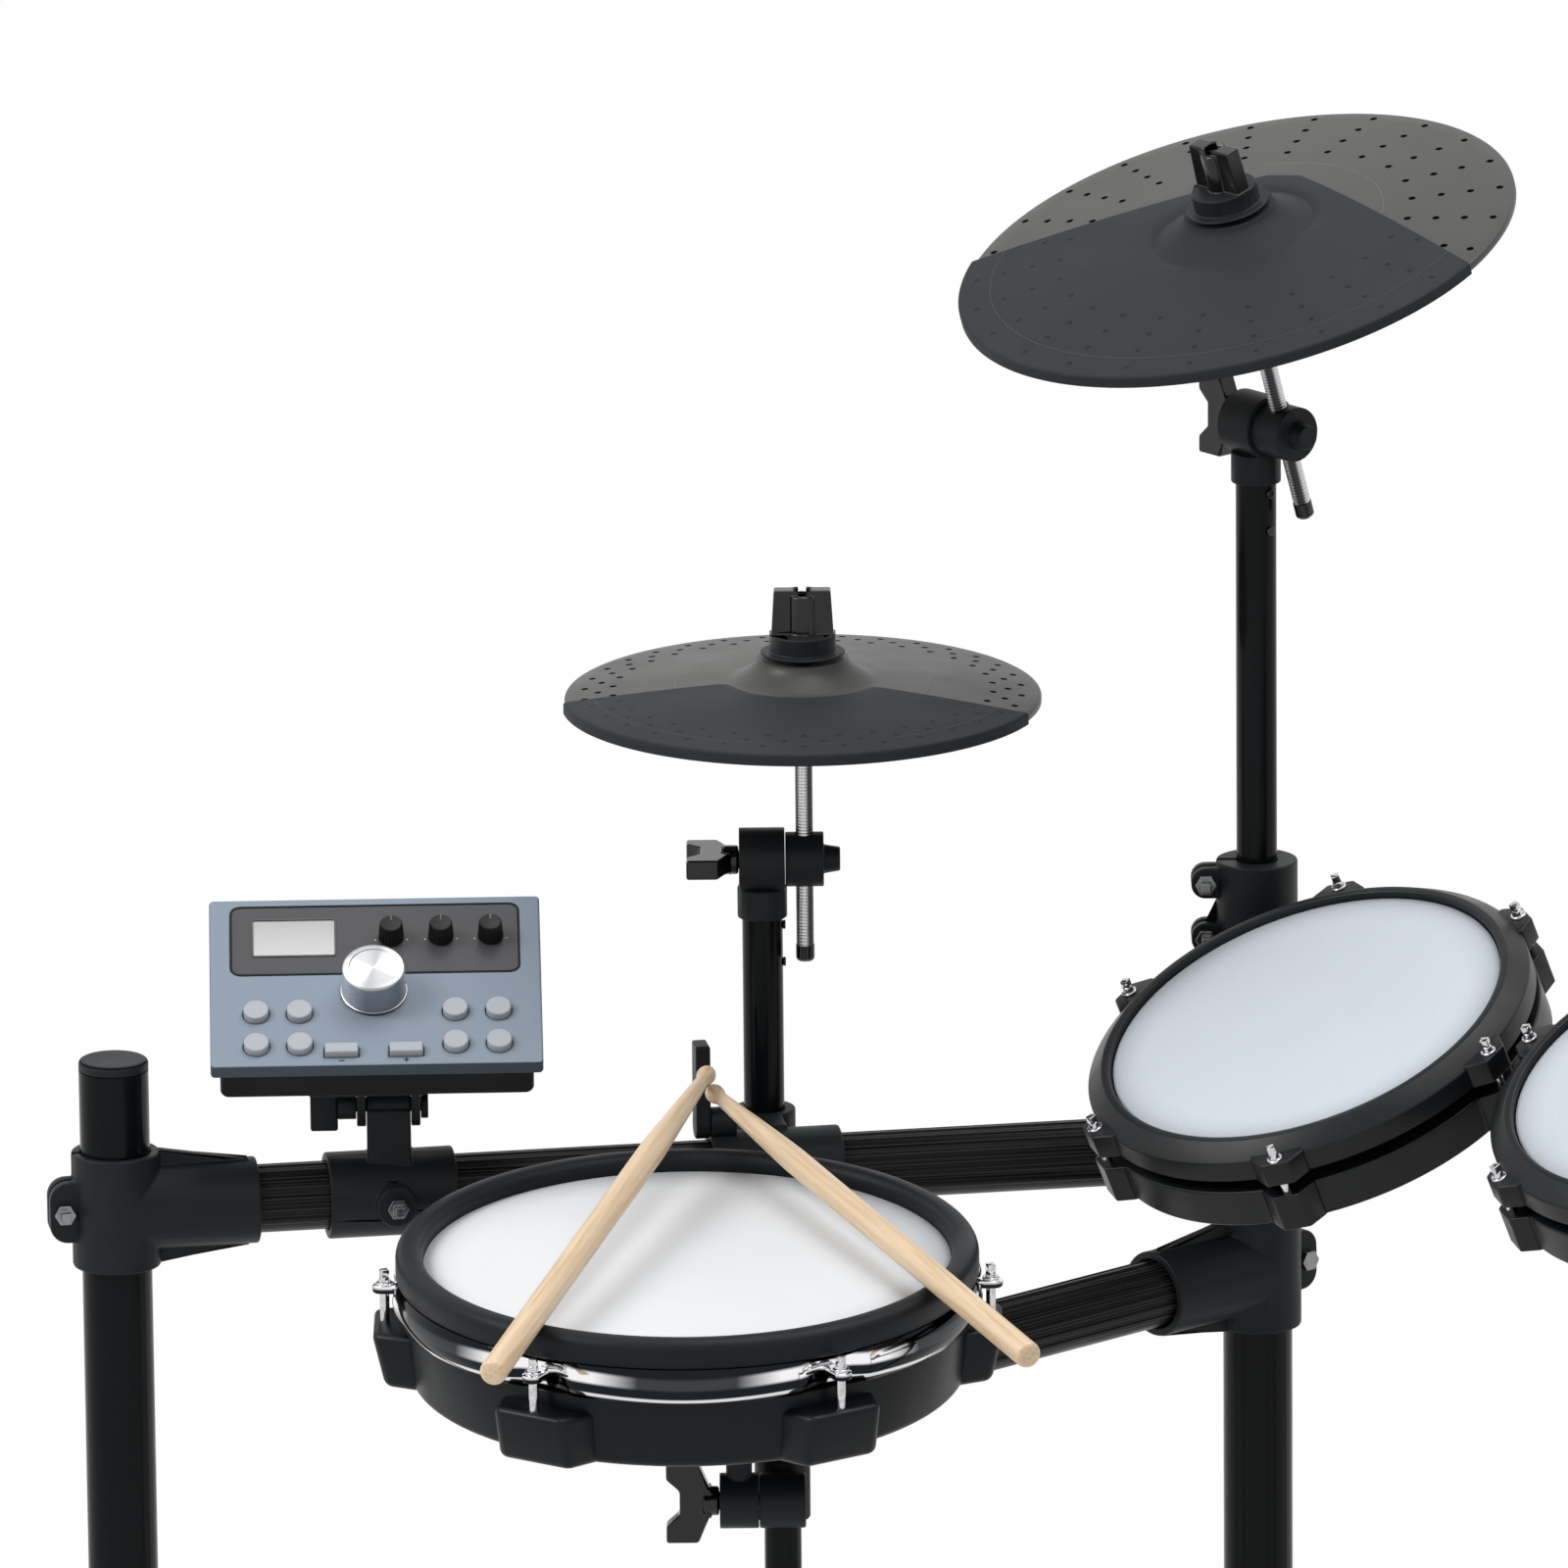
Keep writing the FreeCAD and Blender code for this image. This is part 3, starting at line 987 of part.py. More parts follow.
def tom(number, point, bar_angle, turn, lift, out):
    """One tom pad and its clamp, for a place on a bar and the direction that the pad leans to."""
    name = f"tom_{number}"
    reach = s.tom_out + out - tom_height * sine(s.tom_tilt)
    rise = s.tom_rise + lift - tom_height * cosine(s.tom_tilt)
    clamp_place = at(point.x, point.y, point.z, spin(bar_angle))
    arm = at(0, 0, rise, spin(float(turn) + QUARTER_TURN - bar_angle))
    pivot = arm.multiply(at(0, -reach))
    clamp = bar_clamp(
        name + "_clamp", s.tom_clamp_length, clamp_place, ALONG_Y,
        extras=(rod(name + "_arm", s.tom_arm_radius, reach, arm.multiply(at(turn=TO_DRUMMER))),
                rod(name + "_pivot", s.tom_pivot_radius, s.tom_pivot_length,
                    pivot.multiply(at(-s.tom_pivot_length / 2, turn=ALONG_X)))),
        holes=(rod(name + "_pivot_hole", seat_fit(s.tom_pin_radius), s.tom_pivot_length + s.overrun * 2,
                   pivot.multiply(at(-s.tom_pivot_length / 2 - s.overrun, turn=ALONG_X))),))
    pivot_place = clamp_place.multiply(pivot)
    tom_pin_places.append(pivot_place)
    pad_place = pivot_place.multiply(at(turn=tip(s.tom_tilt))).multiply(at(0, 0, tom_height))
    forms = [tom_hoop, tom_frame, tom_sensor]
    pieces = [link for form in forms for link in copies(form, [at()])]
    screws = copies(tom_screw, [place.multiply(at(screw_reach)) for place in lug_places])
    node(name + "_frame", *pieces, *screws, place=pad_place)
    node(name + "_head", copies(tom_head, [pad_place])[0])
    return clamp


third_point = along(front_right, -side_angle, s.side_bar_span * s.tom_third_share)
tom_clamps = [
    tom(1, raised(along(front_left, 0, s.tom_left_margin), front_bar_height), 0, s.tom_turn, ZERO, ZERO),
    tom(2, raised(along(front_left, 0, s.tom_left_margin + tom_spacing), front_bar_height), 0, s.tom_turn,
        s.tom_second_lift, s.tom_second_out),
    tom(3, raised(third_point, s.side_bar_height), -side_angle, s.tom_third_turn, ZERO, ZERO),
]
node("bar_clamps", module_clamp, hihat_clamp, snare_base, *tom_clamps)
node("clamp_bolts", *copies(ear_bolt, bolt_places), *copies(boss_bolt, boss_bolt_places),
     *copies(tom_pin, tom_pin_places))

# Sound module: two case halves, panel, screen, board and controls, on a tilting bracket

def rounded_plate(name, x, y, corner, height, place=None):
    """A plate with rounded corners, centred on its placement."""
    right, back = x / 2, y / 2
    return padded(name, [
        (right - corner, -back), (right, corner - back, corner, 1), (right, back - corner),
        (right - corner, back, corner, 1), (corner - right, back), (-right, back - corner, corner, 1),
        (-right, corner - back), (corner - right, -back, corner, 1),
    ], height, place)


module_pivot = at(module_clamp_place.Base.x, module_clamp_place.Base.y, s.side_bar_height + s.pivot_rise,
                  spin(s.module_turn))
module_lean = module_pivot.multiply(at(turn=tip(s.module_tilt)))
module_place = module_lean.multiply(at(s.module_side, s.module_face_back, s.module_face_lift))
base_width = s.module_width - s.module_base_inset * 2
base_depth = s.module_depth - s.module_base_inset * 2
module_low = -s.module_top_height - s.module_base_height
cavity_inset = s.module_wall * 2
top_cavity = (s.module_base_inset + s.module_wall / 2) * 2
knob_spots = [at(s.knob_first_x + s.knob_pitch * index, s.knob_y) for index in range(3)]
dial_spot = at(s.dial_x, s.dial_y)
button_spots = [at(left + s.button_pitch_x * column, height)
                for left in (s.button_left_x, s.button_right_x)
                for height in (s.button_high_y, s.button_low_y)
                for column in range(2)]
bar_button_spots = [at(s.bar_button_first_x + s.bar_button_pitch * index, s.bar_button_y)
                    for index in range(2)]
hole_depth = s.module_top_height + s.overrun


def face_hole(name, radius, spot):
    return rod(name, radius, hole_depth, spot.multiply(at(0, 0, -s.module_top_height)))


shaft_holes = [face_hole("shaft_hole", seat_fit(s.dial_shaft_radius), spot)
               for spot in [dial_spot, *knob_spots]]
button_holes = [face_hole("button_hole", s.button_radius + s.touch_gap, spot) for spot in button_spots]
bar_holes = [block("bar_button_hole", s.bar_button_width + s.touch_gap * 2,
                   s.bar_button_depth + s.touch_gap * 2, hole_depth,
                   spot.multiply(at(0, 0, -s.module_top_height))) for spot in bar_button_spots]
panel_pocket = rounded_plate("panel_pocket", s.panel_width + s.fit_gap * 2, s.panel_depth + s.fit_gap * 2,
                             seat_fit(s.panel_corner), s.panel_thickness + s.overrun,
                             at(0, s.panel_back, -s.panel_thickness))
node("module_upper_case", cut(
    "module_upper_shell",
    rounded_plate("module_top", s.module_width, s.module_depth, s.module_corner, s.module_top_height,
                  at(0, 0, -s.module_top_height)),
    block("module_top_cavity", s.module_width - top_cavity, s.module_depth - top_cavity,
          s.module_top_height - s.module_wall, at(0, 0, -s.module_top_height)),
    panel_pocket, *shaft_holes, *button_holes, *bar_holes), place=module_place)

posts_x = base_width / 2 - cavity_inset * 2
posts_y = base_depth / 2 - cavity_inset * 2
board_posts = [rod("board_post", s.board_post_radius, s.board_lift, at(x, y, module_low + s.module_wall))
               for x in (-posts_x, posts_x) for y in (-posts_y, posts_y)]
node("module_lower_case", fuse(
    "module_lower_shell",
    cut("module_tray",
        rounded_plate("module_base", base_width, base_depth, s.module_corner, s.module_base_height,
                      at(0, 0, module_low)),
        block("module_base_cavity", base_width - cavity_inset, base_depth - cavity_inset,
              s.module_base_height, at(0, 0, module_low + s.module_wall))),
    *board_posts), place=module_place)
node("module_board", block("module_board_plate", base_width - cavity_inset - s.board_margin * 2,
                           base_depth - cavity_inset - s.board_margin * 2, s.board_thickness,
                           at(0, 0, module_low + s.module_wall + s.board_lift)), place=module_place)
screen_spot = at(s.screen_x, s.panel_back + s.screen_back, -s.panel_thickness)
panel_holes = [rod("panel_hole", seat_fit(s.dial_shaft_radius), s.panel_thickness + s.overrun * 2,
                   spot.multiply(at(0, 0, -s.panel_thickness - s.overrun))) for spot in knob_spots]
node("module_panel", cut(
    "module_panel_plate",
    rounded_plate("module_panel_sheet", s.panel_width, s.panel_depth, s.panel_corner, s.panel_thickness,
                  at(0, s.panel_back, -s.panel_thickness)),
    block("screen_window", s.screen_width + s.fit_gap * 2, s.screen_depth + s.fit_gap * 2,
          s.panel_thickness + s.overrun, screen_spot),
    *panel_holes), place=module_place)
node("module_screen",
     block("module_screen_glass", s.screen_width, s.screen_depth, s.screen_thickness, screen_spot),
     place=module_place)

shaft_depth = s.module_top_height + s.module_wall


def control_knob(name, radius, height, taper):
    """A knob on a shaft: a drum with a chamfered top, just clear of the face."""
    return turned(name, [
        (ZERO, -shaft_depth), (s.dial_shaft_radius, -shaft_depth), (s.dial_shaft_radius, s.touch_gap),
        (radius, s.touch_gap), (radius - taper, height - taper), (radius - taper * 2, height), (ZERO, height),
    ])


node("dial", control_knob("dial_form", s.dial_radius, s.dial_height, s.dial_taper),
     place=module_place.multiply(dial_spot))
for index, spot in enumerate(knob_spots, start=1):
    node(f"volume_knob_{index}",
         control_knob(f"volume_knob_form_{index}", s.knob_radius, s.knob_height, s.knob_taper),
         place=module_place.multiply(spot))
button_root = at(0, 0, -s.module_wall - s.button_stem)
button_length = s.module_wall + s.button_stem + s.button_height
for index, spot in enumerate(button_spots, start=1):
    node(f"round_button_{index}", rod(f"round_button_form_{index}", s.button_radius, button_length),
         place=module_place.multiply(spot).multiply(button_root))
for index, spot in enumerate(bar_button_spots, start=1):
    node(f"bar_button_{index}",
         block(f"bar_button_form_{index}", s.bar_button_width, s.bar_button_depth, button_length,
               module_place.multiply(spot).multiply(button_root)))

plate_top = s.module_face_lift + module_low
cheek_start = s.neck_width / 2 + s.touch_gap
cheeks = []
for side, start in (("left", -cheek_start - s.bracket_cheek), ("right", cheek_start)):
    cheeks.append(block(f"bracket_cheek_{side}", s.bracket_cheek, s.pivot_radius * 2, plate_top,
                        at(start + s.bracket_cheek / 2)))
    cheeks.append(rod(f"bracket_cheek_end_{side}", s.pivot_radius, s.bracket_cheek, at(start, turn=ALONG_X)))
bracket_plate = block("bracket_plate", s.bracket_width, s.bracket_depth, s.bracket_thickness,
                      at(-s.bracket_shift, s.bracket_back, plate_top - s.bracket_thickness))
pin_half = cheek_start + s.bracket_cheek + s.touch_gap
node("module_bracket", cut(
    "module_bracket_solid", fuse("module_bracket_form", bracket_plate, *cheeks),
    rod("module_bracket_hole", seat_fit(s.pivot_pin_radius), pin_half * 2, at(-pin_half, turn=ALONG_X))),
    place=module_lean)
grip_x = -pin_half - s.module_lever_boss - s.module_lever_grip / 2
node("module_lever", fuse(
    "module_lever_solid",
    rod("module_lever_pin", s.pivot_pin_radius, pin_half * 2, at(-pin_half, turn=ALONG_X)),
    rod("module_lever_nut", s.pivot_pin_radius * 2, s.pivot_pin_radius, at(pin_half, turn=ALONG_X)),
    rod("module_lever_hub", s.module_lever_hub, s.module_lever_boss,
        at(-pin_half - s.module_lever_boss, turn=ALONG_X)),
    block("module_lever_handle", s.module_lever_grip, s.module_lever_width, s.module_lever_length,
          at(grip_x, 0, s.module_lever_hub - s.module_lever_length))), place=module_pivot)


# Drumsticks, tips at the hi-hat clamp and shanks over the snare rim

def stick(name, side, depth, drop, tip_point):
    shoulder = s.stick_length - s.stick_taper
    bead_low = s.stick_length - s.stick_bead_length
    body = turned(name + "_wood", [
        (ZERO, ZERO), (s.stick_radius - s.stick_butt_edge, ZERO), (s.stick_radius, s.stick_butt_edge),
        (s.stick_radius, shoulder), (s.stick_neck_radius, bead_low),
        (s.stick_bead_radius, s.stick_length - s.stick_bead_length / 2),
        (s.stick_neck_radius / 2, s.stick_length), (ZERO, s.stick_length),
    ])
    turn = spin(s.view_angle)
    run = turn.multVec(Vector(float(side), float(depth), -float(drop)))
    lay = Rotation(Vector(0, 0, 1), run * -1)
    butt = tip_point + run.normalize() * float(s.stick_length)
    node(name, body, place=Placement(butt, lay))


clamp_point = hihat_clamp_place.Base
tip_offset = Vector(float(s.stick_tip_side), float(s.stick_tip_depth), float(s.stick_tip_rise))
tip_a = clamp_point + spin(s.view_angle).multVec(tip_offset)
tip_b = tip_a - Vector(0, 0, float(s.stick_tip_step))
stick("drumstick_left", s.stick_a_side, s.stick_a_depth, s.stick_a_drop, tip_a)
stick("drumstick_right", s.stick_b_side, s.stick_b_depth, s.stick_b_drop, tip_b)


# Recompute, check every object and write one file for each node

doc.recompute()
for item in doc.Objects:
    if "Invalid" in item.State or "Error" in item.State:
        raise RuntimeError(f"{item.Name} failed: {item.State}")
for item in NODES:
    if item.Shape.isNull() or not item.Shape.isValid() or not item.Shape.Solids:
        raise RuntimeError(f"{item.Label} has no valid solid")
os.makedirs("parts", exist_ok=True)
for item in NODES:
    item.Shape.exportStep(os.path.join("parts", item.Label + ".step"))
print(f"{len(NODES)} nodes written")
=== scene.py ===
"""Looks of an electronic drum kit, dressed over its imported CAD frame."""

from __future__ import annotations

import json
import logging
import math
from dataclasses import dataclass
from enum import Enum
from typing import Callable, Sequence

import bmesh
import bpy
from mathutils import Matrix, Vector

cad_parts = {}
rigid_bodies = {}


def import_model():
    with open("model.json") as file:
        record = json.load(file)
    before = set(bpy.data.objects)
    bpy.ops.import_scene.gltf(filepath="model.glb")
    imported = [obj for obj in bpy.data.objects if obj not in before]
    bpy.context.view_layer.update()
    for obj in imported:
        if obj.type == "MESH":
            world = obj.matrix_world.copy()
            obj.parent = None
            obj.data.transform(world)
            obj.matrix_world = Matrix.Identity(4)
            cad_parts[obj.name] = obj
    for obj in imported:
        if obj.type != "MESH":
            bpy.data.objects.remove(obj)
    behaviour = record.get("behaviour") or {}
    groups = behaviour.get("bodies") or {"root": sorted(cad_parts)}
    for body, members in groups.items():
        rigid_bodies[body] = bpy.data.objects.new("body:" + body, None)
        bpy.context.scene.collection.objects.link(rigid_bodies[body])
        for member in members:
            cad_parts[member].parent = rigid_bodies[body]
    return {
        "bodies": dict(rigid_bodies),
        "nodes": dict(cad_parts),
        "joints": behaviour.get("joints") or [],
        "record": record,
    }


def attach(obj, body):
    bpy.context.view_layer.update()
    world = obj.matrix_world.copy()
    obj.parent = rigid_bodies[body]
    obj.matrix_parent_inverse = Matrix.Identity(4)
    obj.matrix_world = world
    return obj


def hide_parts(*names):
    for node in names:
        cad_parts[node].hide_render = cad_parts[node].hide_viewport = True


log = logging.getLogger("drum_kit")
BMesh = bmesh.types.BMesh
Material = bpy.types.Material
Object = bpy.types.Object
Socket = bpy.types.NodeSocket
Value = float | Socket
Colour = tuple[float, float, float]
Point = tuple[float, float]
FULL_TURN = 360.0
NOISE_LOW, NOISE_HIGH = 0.3, 0.7
# how much of the painted highlight a raised ring gets, and how much lighter it is
CREST_SHARE, CREST_HIGHLIGHT = 0.4, 2.4


# Places


@dataclass(frozen=True)
class Place:
    """A local frame in the row frame."""

    matrix: Matrix

    @staticmethod
    def of(origin: Vector, x: Vector, z: Vector) -> Place:
        """The frame at an origin with its X and Z directions."""
        return Place(Matrix.Translation(origin) @ Matrix((x, z.cross(x), z)).transposed().to_4x4())

    def moved(self, x: float = 0, y: float = 0, z: float = 0) -> Place:
        """This frame, shifted along its own axes."""
        return Place(self.matrix @ Matrix.Translation((x, y, z)))

    def tipped(self, degrees: float) -> Place:
        """This frame, turned about its own X."""
        return Place(self.matrix @ Matrix.Rotation(math.radians(degrees), 4, "X"))

    def spun(self, degrees: float) -> Place:
        """This frame, turned about its own Z."""
        return Place(self.matrix @ Matrix.Rotation(math.radians(degrees), 4, "Z"))


# Finishes


@dataclass(frozen=True)
class Rings:
    """Rings of dots about an axis, between two radii."""

    first: float
    last: float
    step: float
    count: int
    stagger: float = 0.0
    phase: float = 0.0


def scaled(colour: Colour, factor: float) -> Colour:
    """A colour made lighter or darker, up to white."""
    return tuple(min(1.0, channel * factor) for channel in colour)


class Graph:
    """A node graph of a material or a world."""

    def __init__(self, tree: bpy.types.NodeTree) -> None:
        """Take the node tree that nodes are added to."""
        self.tree = tree

    def node(self, kind: str, **inputs: object) -> bpy.types.Node:
        """Add a node and set or link its inputs by name.

        Args:
            kind: The node's type after ShaderNode.
            inputs: Values or sockets by input name, with _ for a space.

        Returns:
            The new node.
        """
        made = self.tree.nodes.new("ShaderNode" + kind)
        for name, value in inputs.items():
            self.feed(made.inputs[name.replace("_", " ")], value)
        return made

    def feed(self, socket: Socket, value: object) -> None:
        """Link a socket to another, or set its value.

        Args:
            socket: The input.
            value: A socket to link it to, or its value.
        """
        if isinstance(value, Socket):
            self.tree.links.new(value, socket)
        else:
            socket.default_value = value

    def math(self, operation: str, *terms: Value) -> Socket:
        """Do arithmetic on numbers or sockets.

        Args:
            operation: The math node's operation.
            terms: Its inputs, in order.

        Returns:
            The result's socket.
        """
        made = self.tree.nodes.new("ShaderNodeMath")
        made.operation = operation
        for socket, term in zip(made.inputs, terms):
            self.feed(socket, term)
        return made.outputs[0]

    def ramp(self, value: Value, low: float, high: float, start: float, end: float) -> Socket:
        """Map a value from low..high to start..end, held at the ends."""
        made = self.node("MapRange", Value=value, From_Min=low, From_Max=high, To_Min=start, To_Max=end)
        return made.outputs["Result"]

    def wave(self, value: Value, rate: float, phase: float = 0.0, operation: str = "SINE") -> Socket:
        """A sine or cosine of a value times a rate, moved by a phase."""
        return self.math(operation, self.math("MULTIPLY_ADD", value, rate, phase))

    def polar(self, vector: Socket) -> tuple[Socket, ...]:
        """Split a vector into its radius, angle and height about Z.

        Args:
            vector: The vector's socket.

        Returns:
            The three sockets.
        """
        parts = self.node("SeparateXYZ", Vector=vector).outputs
        x, y = parts["X"], parts["Y"]
        squares = self.math("ADD", self.math("MULTIPLY", x, x), self.math("MULTIPLY", y, y))
        return self.math("SQRT", squares), self.math("ARCTAN2", y, x), parts["Z"]

    def shown(self) -> Socket:
        """1 on rays that show the surround in the picture, in a mirror or through glass, else 0.

        Returns:
            The share's socket.
        """
        rays = self.node("LightPath").outputs
        seen = self.math("ADD", rays["Is Camera Ray"], rays["Is Glossy Ray"])
        return self.math("MINIMUM", self.math("ADD", seen, rays["Is Transmission Ray"]), 1)


class Paint(Graph):
    """A material's graph, built round its Principled shader."""

    def __init__(self, name: str) -> None:
        """Start a material.

        Args:
            name: The material's name.
        """
        self.material = bpy.data.materials.new(name)
        self.material.use_nodes = True
        super().__init__(self.material.node_tree)
        self.shader = self.tree.nodes["Principled BSDF"]
        self.coordinates = self.tree.nodes.new("ShaderNodeTexCoord").outputs["Object"]

    def blend(self, share: Value, first: object, second: object) -> Socket:
        """Mix two colours by a share.

        Args:
            share: A number or socket from 0 to 1.
            first: The colour or socket at 0.
            second: The colour or socket at 1.

        Returns:
            The mixed colour's socket.
        """
        made = self.tree.nodes.new("ShaderNodeMix")
        made.data_type = "RGBA"
        self.feed(made.inputs["Factor"], share)
        for name, colour in (("A", first), ("B", second)):
            self.feed(made.inputs[name], colour if isinstance(colour, Socket) else (*colour, 1))
        return made.outputs["Result"]

    def around(self, colour: Colour, share: Value, spread: float) -> Socket:
        """A colour that a share moves from darker to lighter by a spread."""
        return self.blend(share, scaled(colour, 1 - spread), scaled(colour, 1 + spread))

    def crest_highlighted(self, colour: Colour, spread: float, slow: Value, raised: Value) -> Socket:
        """A mottled colour with a painted highlight on a raised line."""
        crest = self.math("MULTIPLY", raised, CREST_SHARE)
        return self.blend(crest, self.around(colour, slow, spread), scaled(colour, CREST_HIGHLIGHT))

    def noise(self, scale: float, detail: float, vector: Socket | None = None) -> Socket:
        """A noise value over the object's coordinates or a given vector."""
        made = self.node("TexNoise", Vector=vector or self.coordinates, Scale=scale, Detail=detail)
        return made.outputs["Fac"]

    def local(self, place: Place, scale: Colour = (1, 1, 1)) -> Socket:
        """Coordinates in a piece's own frame.

        Args:
            place: The piece's frame.
            scale: What one unit of the result spans along each axis.

        Returns:
            The vector's socket.
        """
        made = self.node("Mapping", Vector=self.coordinates, Location=place.matrix.translation,
                         Rotation=place.matrix.to_euler(), Scale=scale)
        made.vector_type = "TEXTURE"
        return made.outputs["Vector"]

    def line(self, value: Value, centre: float, half: float) -> Socket:
        """A soft stripe where a value is near a centre, 1 in its middle and 0 outside."""
        away = self.math("ABSOLUTE", self.math("SUBTRACT", value, centre))
        return self.ramp(away, half * 0.6, half, 1, 0)

    def dimples(self, place: Place, rings: Rings, size: float) -> Socket:
        """Round dots on rings about a frame's axis, 1 inside a dot and 0 outside.

        Args:
            place: The frame.
            rings: How the dots are laid out.
            size: A dot's radius.

        Returns:
            The mask's socket.
        """
        radius, angle, _ = self.polar(self.local(place))
        steps = self.math("DIVIDE", self.math("SUBTRACT", radius, rings.first), rings.step)
        shift = self.math("MULTIPLY_ADD", self.math("FLOOR", steps), rings.stagger, rings.phase)
        turn = self.math("MULTIPLY_ADD", angle, rings.count / math.tau, shift)
        side = self.math("SUBTRACT", self.math("FRACT", turn), 0.5)
        side = self.math("MULTIPLY", side, self.math("MULTIPLY", radius, math.tau / rings.count))
        out = self.math("MULTIPLY", self.math("SUBTRACT", self.math("FRACT", steps), 0.5), rings.step)
        away = self.math("SQRT", self.math("ADD", self.math("MULTIPLY", side, side),
                                           self.math("MULTIPLY", out, out)))
        inside = self.math("MULTIPLY", self.math("GREATER_THAN", radius, rings.first),
                           self.math("LESS_THAN", radius, rings.last))
        return self.math("MULTIPLY", self.ramp(away, size * 0.85, size, 1, 0), inside)

    def rough(self, noise: Value, smooth: float, coarse: float) -> None:
        """Set the roughness from a noise value."""
        self.set(Roughness=self.ramp(noise, NOISE_LOW, NOISE_HIGH, smooth, coarse))

    def bump(self, height: Value, distance: float, strength: float = 1.0) -> None:
        """Feed a height in 0..1 to the shader's normal, scaled to metres."""
        made = self.node("Bump", Height=height, Distance=distance, Strength=strength)
        self.feed(self.shader.inputs["Normal"], made.outputs["Normal"])

    def set(self, **values: object) -> None:
        """Set the shader's own sockets by name, with _ for a space."""
        for name, value in values.items():
            self.feed(self.shader.inputs[name.replace("_", " ")], value)


@dataclass(frozen=True)
class Finish:
    """A moulded, painted or plated surface with fine grain and slow colour change."""

    name: str
    colour: Colour
    roughness: float
    metallic: float = 0.0
    grain_scale: float = 1400.0
    grain_depth: float = 0.00006
    mottle: float = 0.18
    mottle_scale: float = 26.0
    rough_change: float = 0.06
    specular: float = 0.5

    def build(self) -> Material:
        """Make the material.

        Returns:
            The material.
        """
        graph = Paint(self.name)
        slow = graph.noise(self.mottle_scale, 4)
        graph.set(Base_Color=graph.around(self.colour, slow, self.mottle), Metallic=self.metallic,
                  Specular_IOR_Level=self.specular)
        graph.rough(slow, self.roughness - self.rough_change, self.roughness + self.rough_change)
        graph.bump(graph.noise(self.grain_scale, 2), self.grain_depth)
        return graph.material


FINISHES = {
    finish.name: finish
    for finish in (
        Finish("gloss_black_tube", (0.0034, 0.0044, 0.0052), 0.2, grain_depth=0.00002, specular=0.1),
        Finish("moulded_black", (0.0128, 0.0148, 0.0166), 0.46, grain_depth=0.00008, specular=0.13),
        Finish("gloss_black", (0.0035, 0.0035, 0.0038), 0.13, grain_depth=0.00001, specular=0.4),
        Finish("black_rubber", (0.009, 0.009, 0.0095), 0.66, grain_scale=900, grain_depth=0.0001, specular=0.12),
        Finish("rim_rubber", (0.0086, 0.0102, 0.0124), 0.44, grain_scale=900, grain_depth=0.00006, specular=0.14),
        Finish("shell_black", (0.0042, 0.0056, 0.007), 0.34, grain_depth=0.00005, specular=0.18),
        Finish("pad_black", (0.0056, 0.0066, 0.0078), 0.36, grain_depth=0.00007, specular=0.24),
        Finish("chrome", (0.6, 0.6, 0.62), 0.12, 1.0, grain_scale=60, grain_depth=0.00001, mottle=0.5,
               mottle_scale=420, rough_change=0.04),
        Finish("zinc", (0.24, 0.245, 0.25), 0.3, 1.0, grain_scale=200, grain_depth=0.00002, mottle=0.4,
               mottle_scale=260, rough_change=0.08),
        Finish("foam", (0.03, 0.03, 0.032), 0.9, grain_scale=600, grain_depth=0.0004, specular=0.1),
        Finish("case_blue", (0.218, 0.265, 0.325), 0.5, grain_depth=0.00004, mottle=0.04, specular=0.25),
        Finish("case_slate", (0.05, 0.066, 0.086), 0.5, grain_depth=0.00004, mottle=0.06, specular=0.2),
        Finish("case_black", (0.0075, 0.0075, 0.0085), 0.6, grain_depth=0.0001, specular=0.14),
        Finish("panel_grey", (0.064, 0.065, 0.069), 0.36, grain_depth=0.00001, mottle=0.06, specular=0.2),
        Finish("knob_black", (0.006, 0.006, 0.0065), 0.42, grain_depth=0.00005, specular=0.25),
        Finish("print_white", (0.66, 0.67, 0.68), 0.55, grain_depth=0.00002, mottle=0.04, specular=0.2),
        Finish("button_grey", (0.385, 0.405, 0.435), 0.48, grain_depth=0.00003, mottle=0.03, specular=0.25),
        Finish("board_green", (0.02, 0.11, 0.05), 0.5),
    )
}


@dataclass(frozen=True)
class RibbedBar:
    """Black bar with fine ribs along its upper side, their ridges painted lighter as highlights; Z runs along it and
    X looks up.
    """

    place: Place
    pitch: float = 6.39
    arc: float = 118.0
    # the ridge colour is a painted highlight on the ribs
    ridge: Colour = (0.034, 0.036, 0.039)
    groove: Colour = (0.0022, 0.0025, 0.003)

    def build(self) -> Material:
        """Make the material.

        Returns:
            The material.
        """
        graph = Paint("ribbed_bar")
        _, angle, _ = graph.polar(graph.local(self.place))
        wave = graph.wave(angle, FULL_TURN / self.pitch, operation="COSINE")
        arc = math.radians(self.arc)
        side = graph.ramp(graph.math("ABSOLUTE", angle), arc - 0.01, arc + 0.01, 1, 0.1)
        ridge = graph.math("MULTIPLY", graph.ramp(wave, -0.1, 0.75, 0, 1), side)
        slow = graph.noise(24, 4)
        # painted highlight on the ridges, mottled by slow noise
        ridge_highlight = graph.blend(slow, scaled(self.ridge, 0.8), self.ridge)
        graph.set(Base_Color=graph.blend(ridge, self.groove, ridge_highlight), Specular_IOR_Level=0.16)
        graph.rough(slow, 0.3, 0.4)
        graph.bump(ridge, distance=0.0005)
        return graph.material


